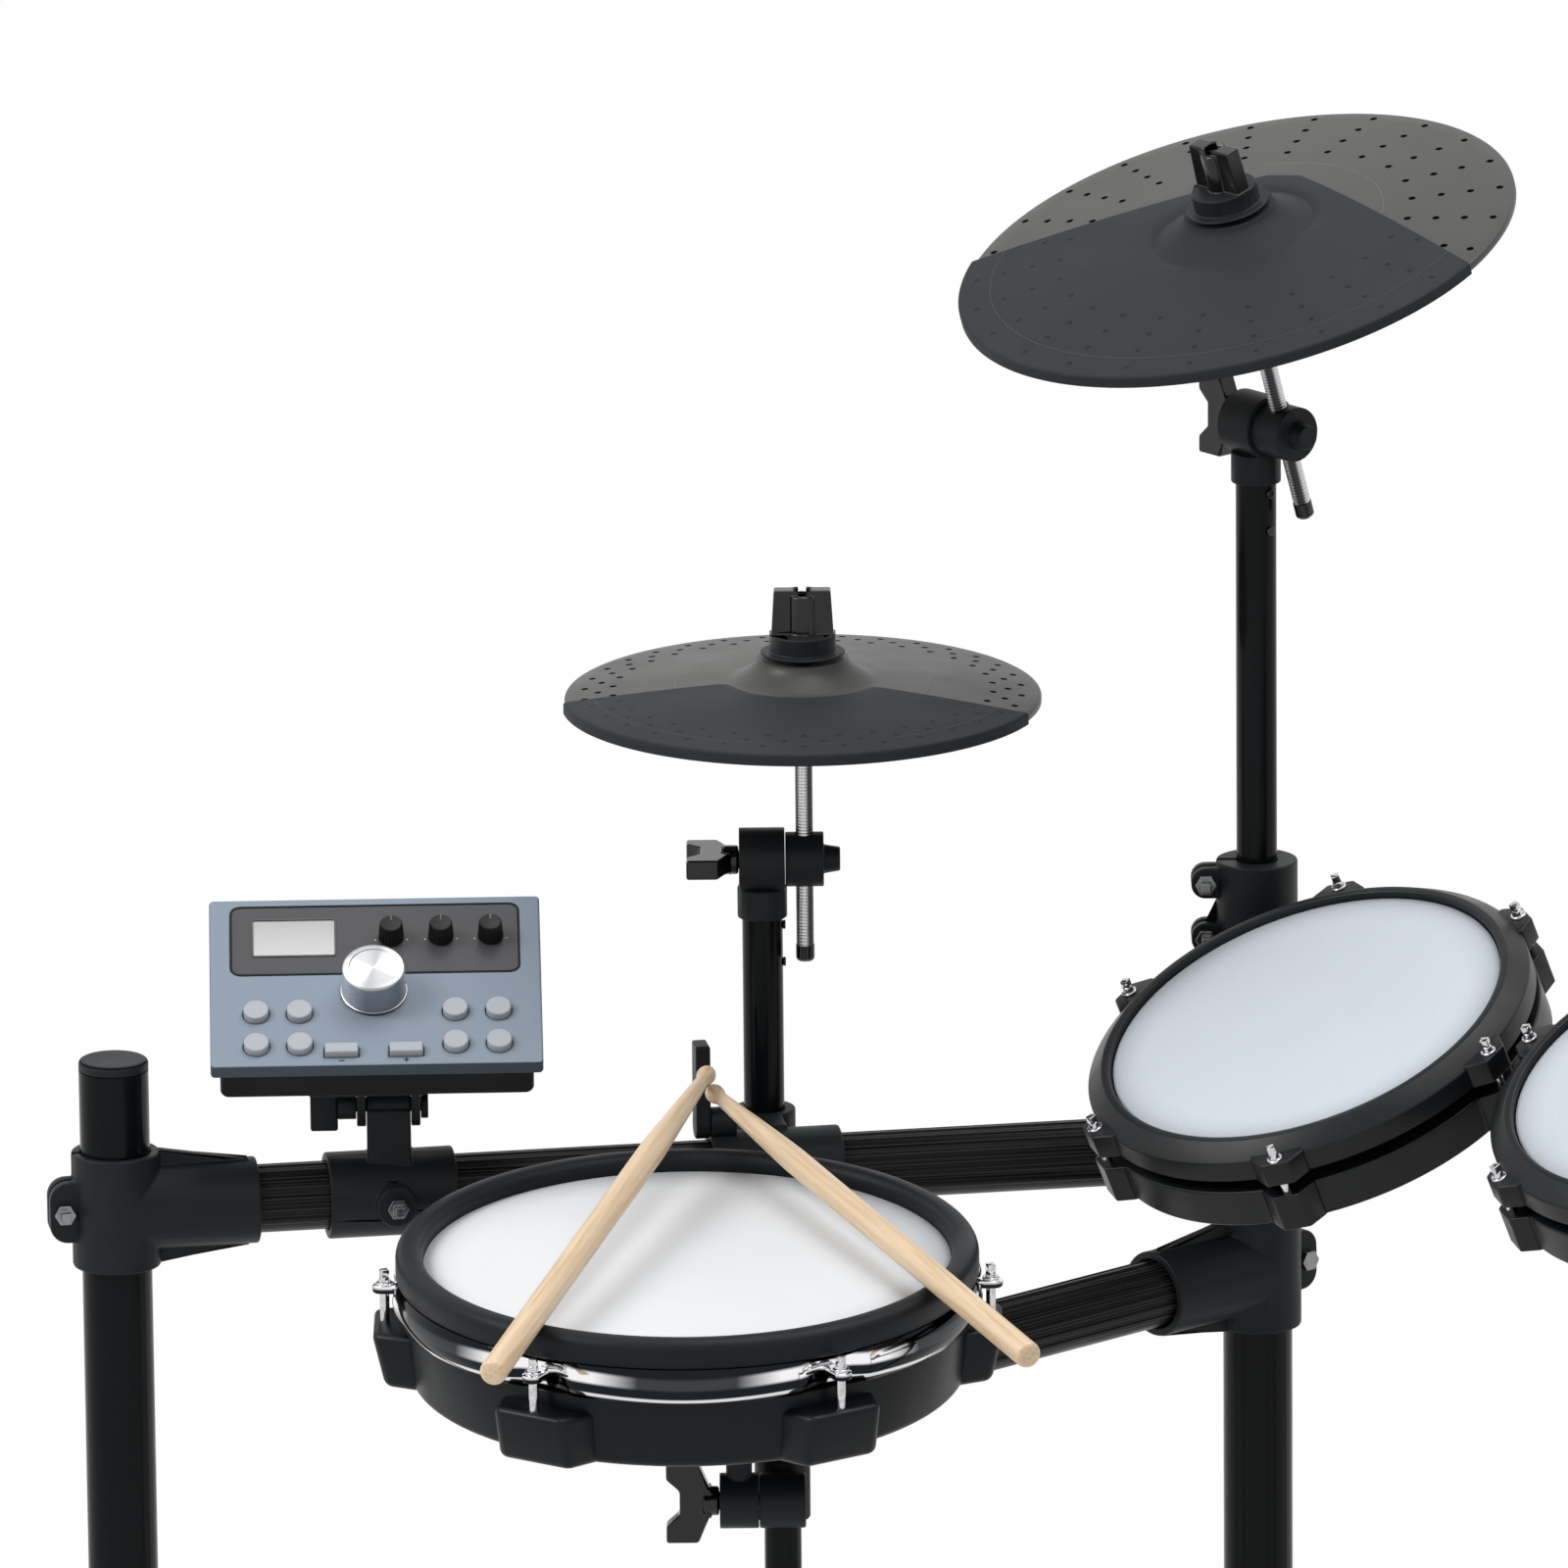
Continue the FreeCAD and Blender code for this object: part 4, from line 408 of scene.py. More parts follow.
@dataclass(frozen=True)
class PunchedPlate:
    """Satin plastic of a cymbal pad with rings of dimples, painted dark as shade in them, and one fine raised ring
    with a painted highlight.
    """

    place: Place
    rings: Rings
    line: float
    dimple: float = 0.0021
    colour: Colour = (0.053, 0.053, 0.0505)
    dimple_shade: Colour = (0.003, 0.003, 0.003)

    def build(self) -> Material:
        """Make the material.

        Returns:
            The material.
        """
        graph = Paint("punched_plate")
        dent = graph.dimples(self.place, self.rings, self.dimple)
        radius, _, _ = graph.polar(graph.local(self.place))
        raised = graph.line(radius, self.line, 0.0007)
        slow = graph.noise(22, 4)
        top = graph.crest_highlighted(self.colour, 0.12, slow, raised)
        # painted shade in the dimples, dark and without specular; painted highlight on the raised ring
        graph.set(Base_Color=graph.blend(dent, top, self.dimple_shade), Specular_IOR_Level=graph.ramp(dent, 0, 1, 0.25, 0))
        graph.rough(slow, 0.36, 0.46)
        fine = graph.math("MULTIPLY_ADD", graph.noise(1500, 2), 0.06, graph.math("MULTIPLY", raised, 0.4))
        graph.bump(graph.math("SUBTRACT", fine, dent), distance=0.0009)
        return graph.material


@dataclass(frozen=True)
class StrikeRubber:
    """Matte rubber of a strike zone with a fine raised ring with a painted highlight, and shallow dots painted darker
    as shade in them.
    """

    place: Place
    rings: Rings
    line: float
    dot: float = 0.0017
    colour: Colour = (0.0215, 0.0245, 0.0275)

    def build(self) -> Material:
        """Make the material.

        Returns:
            The material.
        """
        graph = Paint("strike_rubber")
        radius, _, _ = graph.polar(graph.local(self.place))
        raised = graph.line(radius, self.line, 0.0009)
        dent = graph.dimples(self.place, self.rings, self.dot)
        slow = graph.noise(18, 5)
        top = graph.crest_highlighted(self.colour, 0.14, slow, raised)
        # painted shade in the dots, and a painted highlight on the raised ring
        graph.set(Base_Color=graph.blend(dent, top, scaled(self.colour, 0.4)), Specular_IOR_Level=0.13)
        graph.rough(slow, 0.56, 0.68)
        grain = graph.math("MULTIPLY_ADD", graph.noise(1300, 3), 0.2, raised)
        graph.bump(graph.math("SUBTRACT", grain, graph.math("MULTIPLY", dent, 0.6)), distance=0.0005)
        return graph.material


@dataclass(frozen=True)
class ReflectionPaintedBand:
    """Bright plating of a hoop, with painted reflections on its curved wall: painted dark at its edges and over most
    of it, with a painted highlight streak along its middle, strongest towards the rods, and a thin painted highlight
    line near its foot.
    """

    place: Place
    low: float
    high: float
    spans: float = 6.0
    # painted reflection colours: the dark reflected surround, then the painted highlight
    dark: Colour = (0.014, 0.016, 0.019)
    painted_highlight: Colour = (0.9, 0.9, 0.91)

    def build(self) -> Material:
        """Make the material.

        Returns:
            The material.
        """
        graph = Paint("reflection_painted_band")
        _, angle, height = graph.polar(graph.local(self.place))
        around = graph.wave(angle, self.spans, operation="COSINE")
        rise = graph.ramp(height, self.low, self.high, 0, 1)
        rise = graph.math("MULTIPLY_ADD", around, -0.08, rise)
        # painted highlight streaks along the band, strongest near the tension rods, and a thin one near its foot
        streak = graph.math("MULTIPLY", graph.line(rise, 0.66, 0.2), graph.ramp(around, -0.55, 0.35, 0.04, 1))
        painted_highlight = graph.math("MAXIMUM", streak, graph.math("MULTIPLY", graph.line(rise, 0.14, 0.07), 0.8))
        graph.set(Base_Color=graph.blend(painted_highlight, self.dark, self.painted_highlight), Metallic=1.0)
        graph.rough(graph.noise(60, 3), 0.05, 0.11)
        return graph.material


@dataclass(frozen=True)
class WovenMesh:
    """Tight woven mesh of a drum head."""

    place: Place
    colour: Colour
    pitch: float = 0.0014

    def build(self) -> Material:
        """Make the material.

        Returns:
            The material.
        """
        graph = Paint("woven_mesh")
        parts = graph.node("SeparateXYZ", Vector=graph.local(self.place)).outputs
        waves = [graph.wave(parts[axis], math.tau / self.pitch) for axis in ("X", "Y")]
        weave = graph.ramp(graph.math("MULTIPLY", *waves), -1, 1, 0, 1)
        shade = graph.ramp(graph.noise(9, 3), NOISE_LOW, NOISE_HIGH, 0.0, 0.35)
        share = graph.math("MULTIPLY_ADD", weave, 0.65, shade)
        graph.set(Base_Color=graph.blend(share, scaled(self.colour, 0.9), self.colour), Specular_IOR_Level=0.25)
        graph.set(Roughness=graph.ramp(weave, 0, 1, 0.85, 0.7))
        graph.bump(weave, distance=0.0002, strength=0.6)
        return graph.material


@dataclass(frozen=True)
class TurnedWood:
    """Pale lacquered hardwood with its grain along Z."""

    place: Place
    pale: Colour = (0.74, 0.565, 0.375)
    dark: Colour = (0.56, 0.385, 0.22)

    def build(self) -> Material:
        """Make the material.

        Returns:
            The material.
        """
        graph = Paint("turned_wood")
        stretched = graph.local(self.place, (0.0022, 0.0022, 0.06))
        streak = graph.noise(1.0, 5, stretched)
        broad = graph.noise(0.35, 2, stretched)
        share = graph.math("MULTIPLY", graph.ramp(streak, 0.42, 0.7, 0, 1),
                           graph.ramp(broad, NOISE_LOW, NOISE_HIGH, 0.35, 1))
        graph.set(Base_Color=graph.blend(share, self.pale, self.dark), Coat_Weight=0.25, Coat_Roughness=0.25)
        graph.rough(streak, 0.36, 0.5)
        graph.bump(streak, distance=0.00008)
        return graph.material


@dataclass(frozen=True)
class KnurledRod:
    """Bright plated rod with a fine crossed knurl, with painted reflection stripes round it and painted shade in the
    knurl's grooves.
    """

    place: Place
    starts: int = 18
    lead: float = 0.0035
    # painted reflection colours of the stripes: dark, then the highlight
    dark: Colour = (0.05, 0.05, 0.053)
    painted_highlight: Colour = (0.8, 0.8, 0.82)

    def build(self) -> Material:
        """Make the material.

        Returns:
            The material.
        """
        graph = Paint("knurled_rod")
        _, angle, height = graph.polar(graph.local(self.place))
        climb = graph.math("MULTIPLY", height, math.tau / self.lead)
        round_turn = graph.math("MULTIPLY", angle, float(self.starts))
        crossed = graph.math("MULTIPLY", graph.math("SINE", graph.math("ADD", round_turn, climb)),
                             graph.math("SINE", graph.math("SUBTRACT", round_turn, climb)))
        diamond = graph.ramp(crossed, -1, 1, 0, 1)
        # painted reflection: light and dark stripes round the rod
        reflection_stripe = graph.ramp(graph.wave(angle, 3.0, 0.6), -0.5, 0.6, 0, 1)
        # painted shade: the knurl's grooves darker than its diamonds
        share = graph.math("MULTIPLY", reflection_stripe, graph.ramp(diamond, 0.2, 0.8, 0.55, 1))
        graph.set(Base_Color=graph.blend(share, self.dark, self.painted_highlight), Metallic=1.0)
        graph.set(Roughness=graph.ramp(diamond, 0, 1, 0.36, 0.2))
        graph.bump(diamond, distance=0.00025)
        return graph.material


@dataclass(frozen=True)
class SpunMetal:
    """Spun metal of the dial: fine rings, and a painted sheen in its colour that changes round the axis."""

    place: Place
    pitch: float = 0.0006
    dark: Colour = (0.36, 0.365, 0.38)
    painted_highlight: Colour = (0.86, 0.86, 0.87)

    def build(self) -> Material:
        """Make the material.

        Returns:
            The material.
        """
        graph = Paint("spun_metal")
        radius, angle, _ = graph.polar(graph.local(self.place))
        rings = graph.wave(radius, math.tau / self.pitch)
        # painted highlight: a sheen in wedges round the axis, from dark to the highlight colour
        painted_sheen = graph.ramp(graph.wave(angle, 2.0, 0.9), -0.4, 1, 0, 1)
        graph.set(Base_Color=graph.blend(painted_sheen, self.dark, self.painted_highlight), Metallic=1.0)
        graph.set(Roughness=graph.ramp(rings, -1, 1, 0.26, 0.38))
        graph.bump(graph.ramp(rings, -1, 1, 0, 1), distance=0.00004)
        return graph.material


@dataclass(frozen=True)
class Display:
    """A reflective display under a clear window, with a faint dot grid and painted shade that darkens it towards its
    upper edge.
    """

    place: Place
    pitch: float = 0.0009
    colour: Colour = (0.455, 0.46, 0.455)

    def build(self) -> Material:
        """Make the material.

        Returns:
            The material.
        """
        graph = Paint("display")
        parts = graph.node("SeparateXYZ", Vector=graph.local(self.place)).outputs
        cells = []
        for axis in ("X", "Y"):
            across = graph.math("FRACT", graph.math("DIVIDE", parts[axis], self.pitch))
            cells.append(graph.math("ABSOLUTE", graph.math("SUBTRACT", across, 0.5)))
        grid = graph.ramp(graph.math("MAXIMUM", *cells), 0.36, 0.46, 0, 1)
        # painted shade: the screen darker towards its upper edge
        shade = graph.ramp(parts["Y"], -0.009, 0.0135, 0, 0.75)
        share = graph.math("MULTIPLY_ADD", grid, 0.25, shade)
        graph.set(Base_Color=graph.blend(share, self.colour, scaled(self.colour, 0.62)))
        graph.set(Roughness=graph.ramp(grid, 0, 1, 0.22, 0.3), Coat_Weight=0.3, Coat_Roughness=0.05)
        return graph.material


class Palette(dict):
    """Materials by finish name, each made once."""

    def __missing__(self, name: str) -> Material:
        """Make the material of a finish."""
        self[name] = FINISHES[name].build()
        return self[name]


# Mesh tools

ORIGIN = Place(Matrix.Identity(4))
UP = Vector((0, 0, 1))
MERGE = 2e-6
DROPPED = -1


def turns(count: int, start: float = 0.0) -> list[Place]:
    """Frames spaced evenly about Z, from an angle in degrees."""
    return [ORIGIN.spun(start + FULL_TURN / count * number) for number in range(count)]


def lathe(outline: Sequence[Point], steps: int = 96, closed: bool = False) -> BMesh:
    """Spin an outline about Z.

    Args:
        outline: Points as (radius, height), in metres.
        steps: How many steps the spin takes.
        closed: Whether the outline's end joins its start.

    Returns:
        The spun mesh.
    """
    bm = bmesh.new()
    verts = [bm.verts.new((radius, 0, height)) for radius, height in outline]
    pairs = list(zip(verts, verts[1:]))
    if closed:
        pairs.append((verts[-1], verts[0]))
    edges = [bm.edges.new(pair) for pair in pairs]
    bmesh.ops.spin(bm, geom=verts + edges, cent=(0, 0, 0), axis=(0, 0, 1), dvec=(0, 0, 0), angle=math.tau,
                   steps=steps, use_merge=True, use_duplicate=False)
    bmesh.ops.remove_doubles(bm, verts=bm.verts, dist=1e-6)
    bmesh.ops.recalc_face_normals(bm, faces=bm.faces)
    return bm


def rounded(centre: Point, radius: float, start: float, end: float, count: int) -> list[Point]:
    """Points on an arc of an outline, between two angles in degrees."""
    angles = [math.radians(start + (end - start) * i / (count - 1)) for i in range(count)]
    return [(centre[0] + radius * math.cos(a), centre[1] + radius * math.sin(a)) for a in angles]


def bevel(bm: BMesh, geom: Sequence[object], width: float, segments: int, affect: str = "EDGES") -> None:
    """Round some edges or corners of a mesh."""
    bmesh.ops.bevel(bm, geom=geom, offset=width, offset_type="OFFSET", segments=segments, profile=0.5, affect=affect,
                    material=-1)


def plate(width: float, depth: float, corner: float, segments: int = 6) -> BMesh:
    """A flat plate with rounded corners, centred on its frame.

    Args:
        width: Its size along X.
        depth: Its size along Y.
        corner: The corners' radius.
        segments: How many steps a corner takes.

    Returns:
        A mesh of one face that looks up.
    """
    bm = bmesh.new()
    bmesh.ops.create_grid(bm, x_segments=1, y_segments=1, size=0.5)
    bmesh.ops.scale(bm, vec=(width, depth, 1), verts=bm.verts)
    bevel(bm, bm.verts[:], corner, segments, "VERTICES")
    return bm


def thicken(bm: BMesh, height: float) -> BMesh:
    """Raise a flat mesh's faces into a closed body that stands on them.

    Args:
        bm: The flat mesh.
        height: How far its faces are raised.

    Returns:
        The same mesh.
    """
    raised = bmesh.ops.extrude_face_region(bm, geom=bm.faces[:], use_keep_orig=True)["geom"]
    verts = [item for item in raised if isinstance(item, bmesh.types.BMVert)]
    bmesh.ops.translate(bm, vec=(0, 0, height), verts=verts)
    bmesh.ops.recalc_face_normals(bm, faces=bm.faces)
    return bm


def flat_frame(bm: BMesh, line: float, height: float) -> BMesh:
    """Turn a plate into a flat frame along its outline.

    Args:
        bm: The plate.
        line: How wide the frame is.
        height: How thick it is.

    Returns:
        The same mesh.
    """
    bmesh.ops.inset_region(bm, faces=bm.faces[:], thickness=line, use_even_offset=True, use_boundary=True)
    inner = min(bm.faces, key=lambda item: item.calc_center_median().length)
    bmesh.ops.delete(bm, geom=[inner], context="FACES_ONLY")
    return thicken(bm, height)


def block(size: Sequence[float]) -> BMesh:
    """A box, centred on its frame.

    Args:
        size: Its size along each axis.

    Returns:
        The box's mesh.
    """
    bm = bmesh.new()
    bmesh.ops.create_cube(bm, size=1)
    bmesh.ops.scale(bm, vec=size, verts=bm.verts)
    return bm


def round_bar(radius: float, top: float, height: float, sides: int = 32, edge: float = 0.0) -> BMesh:
    """A short bar along Z with rounded end edges.

    Args:
        radius: Its radius at the foot.
        top: Its radius at the top.
        height: Its height, from 0.
        sides: How many sides it has.
        edge: The rounding of its end edges.

    Returns:
        The bar's mesh.
    """
    bm = bmesh.new()
    bmesh.ops.create_cone(bm, cap_ends=True, segments=sides, radius1=radius, radius2=top, depth=height)
    bmesh.ops.translate(bm, vec=(0, 0, height / 2), verts=bm.verts)
    if edge > 0:
        bevel(bm, [e for e in bm.edges if abs(e.verts[0].co.z - e.verts[1].co.z) < 1e-9], edge, 3)
    return bm


def gathered(parts: Sequence[tuple[BMesh, Place]]) -> BMesh:
    """Several meshes in one, each put in its place.

    Args:
        parts: The meshes, which are freed, with their frames.

    Returns:
        The joined mesh.
    """
    whole = bmesh.new()
    for bm, place in parts:
        bm.transform(place.matrix)
        mesh = bpy.data.meshes.new("part")
        bm.to_mesh(mesh)
        bm.free()
        whole.from_mesh(mesh)
        bpy.data.meshes.remove(mesh)
    return whole


def tension_screw(spot: Place, seat: float, foot: float, radius: float, washer: float,
                  key: float) -> list[tuple[BMesh, Place]]:
    """A drum's tension screw: shank, washer, collar and square head.

    Args:
        spot: Its axis, with the head's plane at height 0.
        seat: The height that the washer lies on.
        foot: The height of the shank's end.
        radius: The shank's radius.
        washer: The washer's radius.
        key: The square head's width.

    Returns:
        Its meshes with their frames.
    """
    head = block((key, key, key))
    bevel(head, head.edges[:], key * 0.1, 2)
    rise = washer * 0.3
    return [(round_bar(radius, radius, seat - foot, 20), spot.moved(z=foot)),
            (round_bar(washer, washer * 0.95, rise, 28, rise * 0.25), spot.moved(z=seat)),
            (round_bar(washer * 0.72, key * 0.55, key * 0.7, 24, key * 0.08), spot.moved(z=seat + rise)),
            (head, spot.spun(20).moved(z=seat + rise + key * 1.1))]


def islands(bm: BMesh) -> list[list[bmesh.types.BMFace]]:
    """Find the separate solids of a mesh.

    Args:
        bm: The mesh.

    Returns:
        Each solid as a list of its faces.
    """
    left = set(bm.faces)
    found = []
    while left:
        edge_of = [left.pop()]
        solid = []
        while edge_of:
            face = edge_of.pop()
            solid.append(face)
            for edge in face.edges:
                for other in edge.link_faces:
                    if other in left:
                        left.remove(other)
                        edge_of.append(other)
        found.append(solid)
    return found


def shaped(name: str, bm: BMesh) -> Object:
    """Put a mesh in the scene as an object.

    Args:
        name: The object's name.
        bm: Its mesh, which is freed.

    Returns:
        The new object.
    """
    mesh = bpy.data.meshes.new(name)
    bm.to_mesh(mesh)
    bm.free()
    made = bpy.data.objects.new(name, mesh)
    bpy.context.scene.collection.objects.link(made)
    return made


class Workshop:
    """Makes finished pieces from meshes and rides them on the frame's bodies."""

    def __init__(self, frame: dict) -> None:
        """Take the loaded frame.
        """
        self.nodes = frame["nodes"]
        self.joints = {joint["name"]: joint for joint in frame["joints"]}
        self.bodies = {node: body for body, nodes in frame["record"]["behaviour"]["bodies"].items()
                       for node in nodes}
        self.slots = {row["node"]: row["material_slot"] for row in frame["record"]["subparts"]}
        self.palette = Palette()

    def hinge(self, name: str) -> tuple[Vector, Vector]:
        """The point and axis of a hinge."""
        return Vector(self.joints[name]["pos_m"]), self.axis(name)

    def axis(self, name: str) -> Vector:
        """The direction of a joint."""
        return Vector(self.joints[name]["axis"]).normalized()

    def upright(self, name: str) -> Place:
        """The frame at a hinge, with X along its axis and Z up."""
        return Place.of(*self.hinge(name), UP)

    def merged(self, node: str) -> BMesh:
        """Copy a node's mesh and join its doubled corners.

        Args:
            node: The node.

        Returns:
            The copy.
        """
        bm = bmesh.new()
        bm.from_mesh(self.nodes[node].data)
        bmesh.ops.remove_doubles(bm, verts=bm.verts, dist=MERGE)
        return bm

    def piece(self, name: str, bm: BMesh, finishes: Sequence[str | Material], body: str,
              place: Place = ORIGIN, sharp: float = 35.0, node: str = "") -> Object:
        """Turn a bmesh into a shown piece on a body.

        Args:
            name: The piece's name.
            bm: Its mesh, which is freed.
            finishes: Names of finishes or materials, by slot.
            body: The body that it rides on.
            place: The frame that the mesh is in.
            sharp: The edge angle in degrees that stays sharp.
            node: The node that it replaces, if any.

        Returns:
            The new object.
        """
        bm.transform(place.matrix)
        piece = shaped(name, bm)
        piece.data.shade_smooth()
        piece.data.set_sharp_from_angle(angle=math.radians(sharp))
        for finish in finishes:
            piece.data.materials.append(self.palette[finish] if isinstance(finish, str) else finish)
        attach(piece, body)
        if node:
            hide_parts(node)
            self.slots[node]
        log.info("%s on %s", name, body)
        return piece

    def softened(self, node: str, finishes: Sequence[str | Material], width: float = 0.0007,
                 choose: Callable[[Vector, Vector], int] | None = None,
                 paint: Callable[[Vector, Vector], int] | None = None,
                 shape: Callable[[BMesh], None] | None = None) -> None:
        """Show a node as a merged copy with rounded edges.

        Args:
            node: The node that the copy replaces.
            finishes: Names of finishes or materials, by slot.
            width: How wide the rounding is, in metres, or 0 for none.
            choose: Gives a solid's slot from its box's size and centre, or DROPPED.
            paint: Gives a face's slot from its centre and normal.
            shape: Shapes the merged copy.
        """
        bm = self.merged(node)
        for face in bm.faces:
            face.material_index = 0
        if choose is not None:
            for solid in islands(bm):
                points = [vert.co for face in solid for vert in face.verts]
                low = Vector([min(p[i] for p in points) for i in range(3)])
                high = Vector([max(p[i] for p in points) for i in range(3)])
                slot = choose(high - low, (low + high) / 2)
                if slot == DROPPED:
                    bmesh.ops.delete(bm, geom=solid, context="FACES")
                    continue
                for face in solid:
                    face.material_index = slot
        if paint is not None:
            for face in bm.faces:
                face.material_index = paint(face.calc_center_median(), face.normal)
        bmesh.ops.dissolve_limit(bm, angle_limit=math.radians(0.6), verts=bm.verts, edges=bm.edges,
                                 delimit={"MATERIAL"})
        if shape is not None:
            shape(bm)
        piece = self.piece(node + "_form", bm, finishes, self.bodies[node], node=node)
        if width > 0:
            rounding = piece.modifiers.new("rounding", "BEVEL")
            rounding.width = width
            rounding.segments = 2
            rounding.limit_method = "ANGLE"
            rounding.angle_limit = math.radians(36)
            rounding.use_clamp_overlap = False
            rounding.harden_normals = True

    def dressed(self, node: str, finish: str) -> None:
        """Give a node's own mesh a finish."""
        self.nodes[node].data.materials.clear()
        self.nodes[node].data.materials.append(self.palette[finish])


# Sub-assemblies


@dataclass
class Rack:
    """Posts, bars, clamps and their bolts."""

    shop: Workshop
    rounding: float = 0.0011
    bolt_rounding: float = 0.0004
    ear_half: float = 0.0065
    ear_slack: float = 0.0003
    ear_round: float = 0.010
    sleeve_ear_round: float = 0.0078
    bar_end: float = 0.05

    def round_ears(self, bm: BMesh, radius: float) -> None:
        """Round the outer corners of the bolt ears.

        Args:
            bm: A merged copy of clamps.
            radius: The corners' radius.
        """
        corners = []
        for edge in bm.edges:
            along = (edge.verts[0].co - edge.verts[1].co).normalized()
            right = abs(edge.calc_face_angle(0) - math.pi / 2) < 0.05
            fits = abs(edge.calc_length() - self.ear_half) < self.ear_slack
            if fits and right and edge.is_convex and abs(along.z) < 0.01:
                corners.append(edge)
        bevel(bm, corners, radius, 8)
        log.info("%d ear corners rounded", len(corners))

    def bars(self, node: str) -> None:
        """Rib each bar of a node along its own axis.

        Args:
            node: A node of one or more bars.
        """
        bm = self.shop.merged(node)
        spots = []
        for solid in islands(bm):
            points = [vert.co.copy() for face in solid for vert in face.verts]
            tip = max(points, key=lambda point: (point - points[0]).length)
            tail = max(points, key=lambda point: (point - tip).length)
            near = [point for point in points if (point - tip).length < self.bar_end]
            far = [point for point in points if (point - tail).length < self.bar_end]
            start, end = sum(near, Vector()) / len(near), sum(far, Vector()) / len(far)
            spots.append(Place.of((start + end) / 2, UP, (end - start).normalized()))
        bm.free()
        self.shop.softened(node, [RibbedBar(spot).build() for spot in spots], 0, choose=lambda _, centre: min(
            range(len(spots)), key=lambda item: (spots[item].matrix.translation - centre).length))

    def build(self) -> None:
        """Dress the rack's nodes."""
        self.shop.dressed("rack_posts", "gloss_black_tube")
        for node in ("rack_bars", "snare_bar"):
            self.bars(node)
        for node, radius in (("post_t_clamps", self.ear_round), ("mast_sleeves", self.sleeve_ear_round)):
            self.shop.softened(node, ["moulded_black"], self.rounding,
                               shape=lambda bm, radius=radius: self.round_ears(bm, radius))
        for node in ("bar_clamps", "post_caps", "hihat_clamp_lever"):
            self.shop.softened(node, ["moulded_black"], self.rounding)
        self.shop.softened("post_feet", ["black_rubber"], self.rounding)
        self.shop.softened("clamp_bolts", ["zinc"], self.bolt_rounding)


class Bell(Enum):
    """What covers a cymbal pad's bell."""

    BARE = 0
    RUBBER = 1


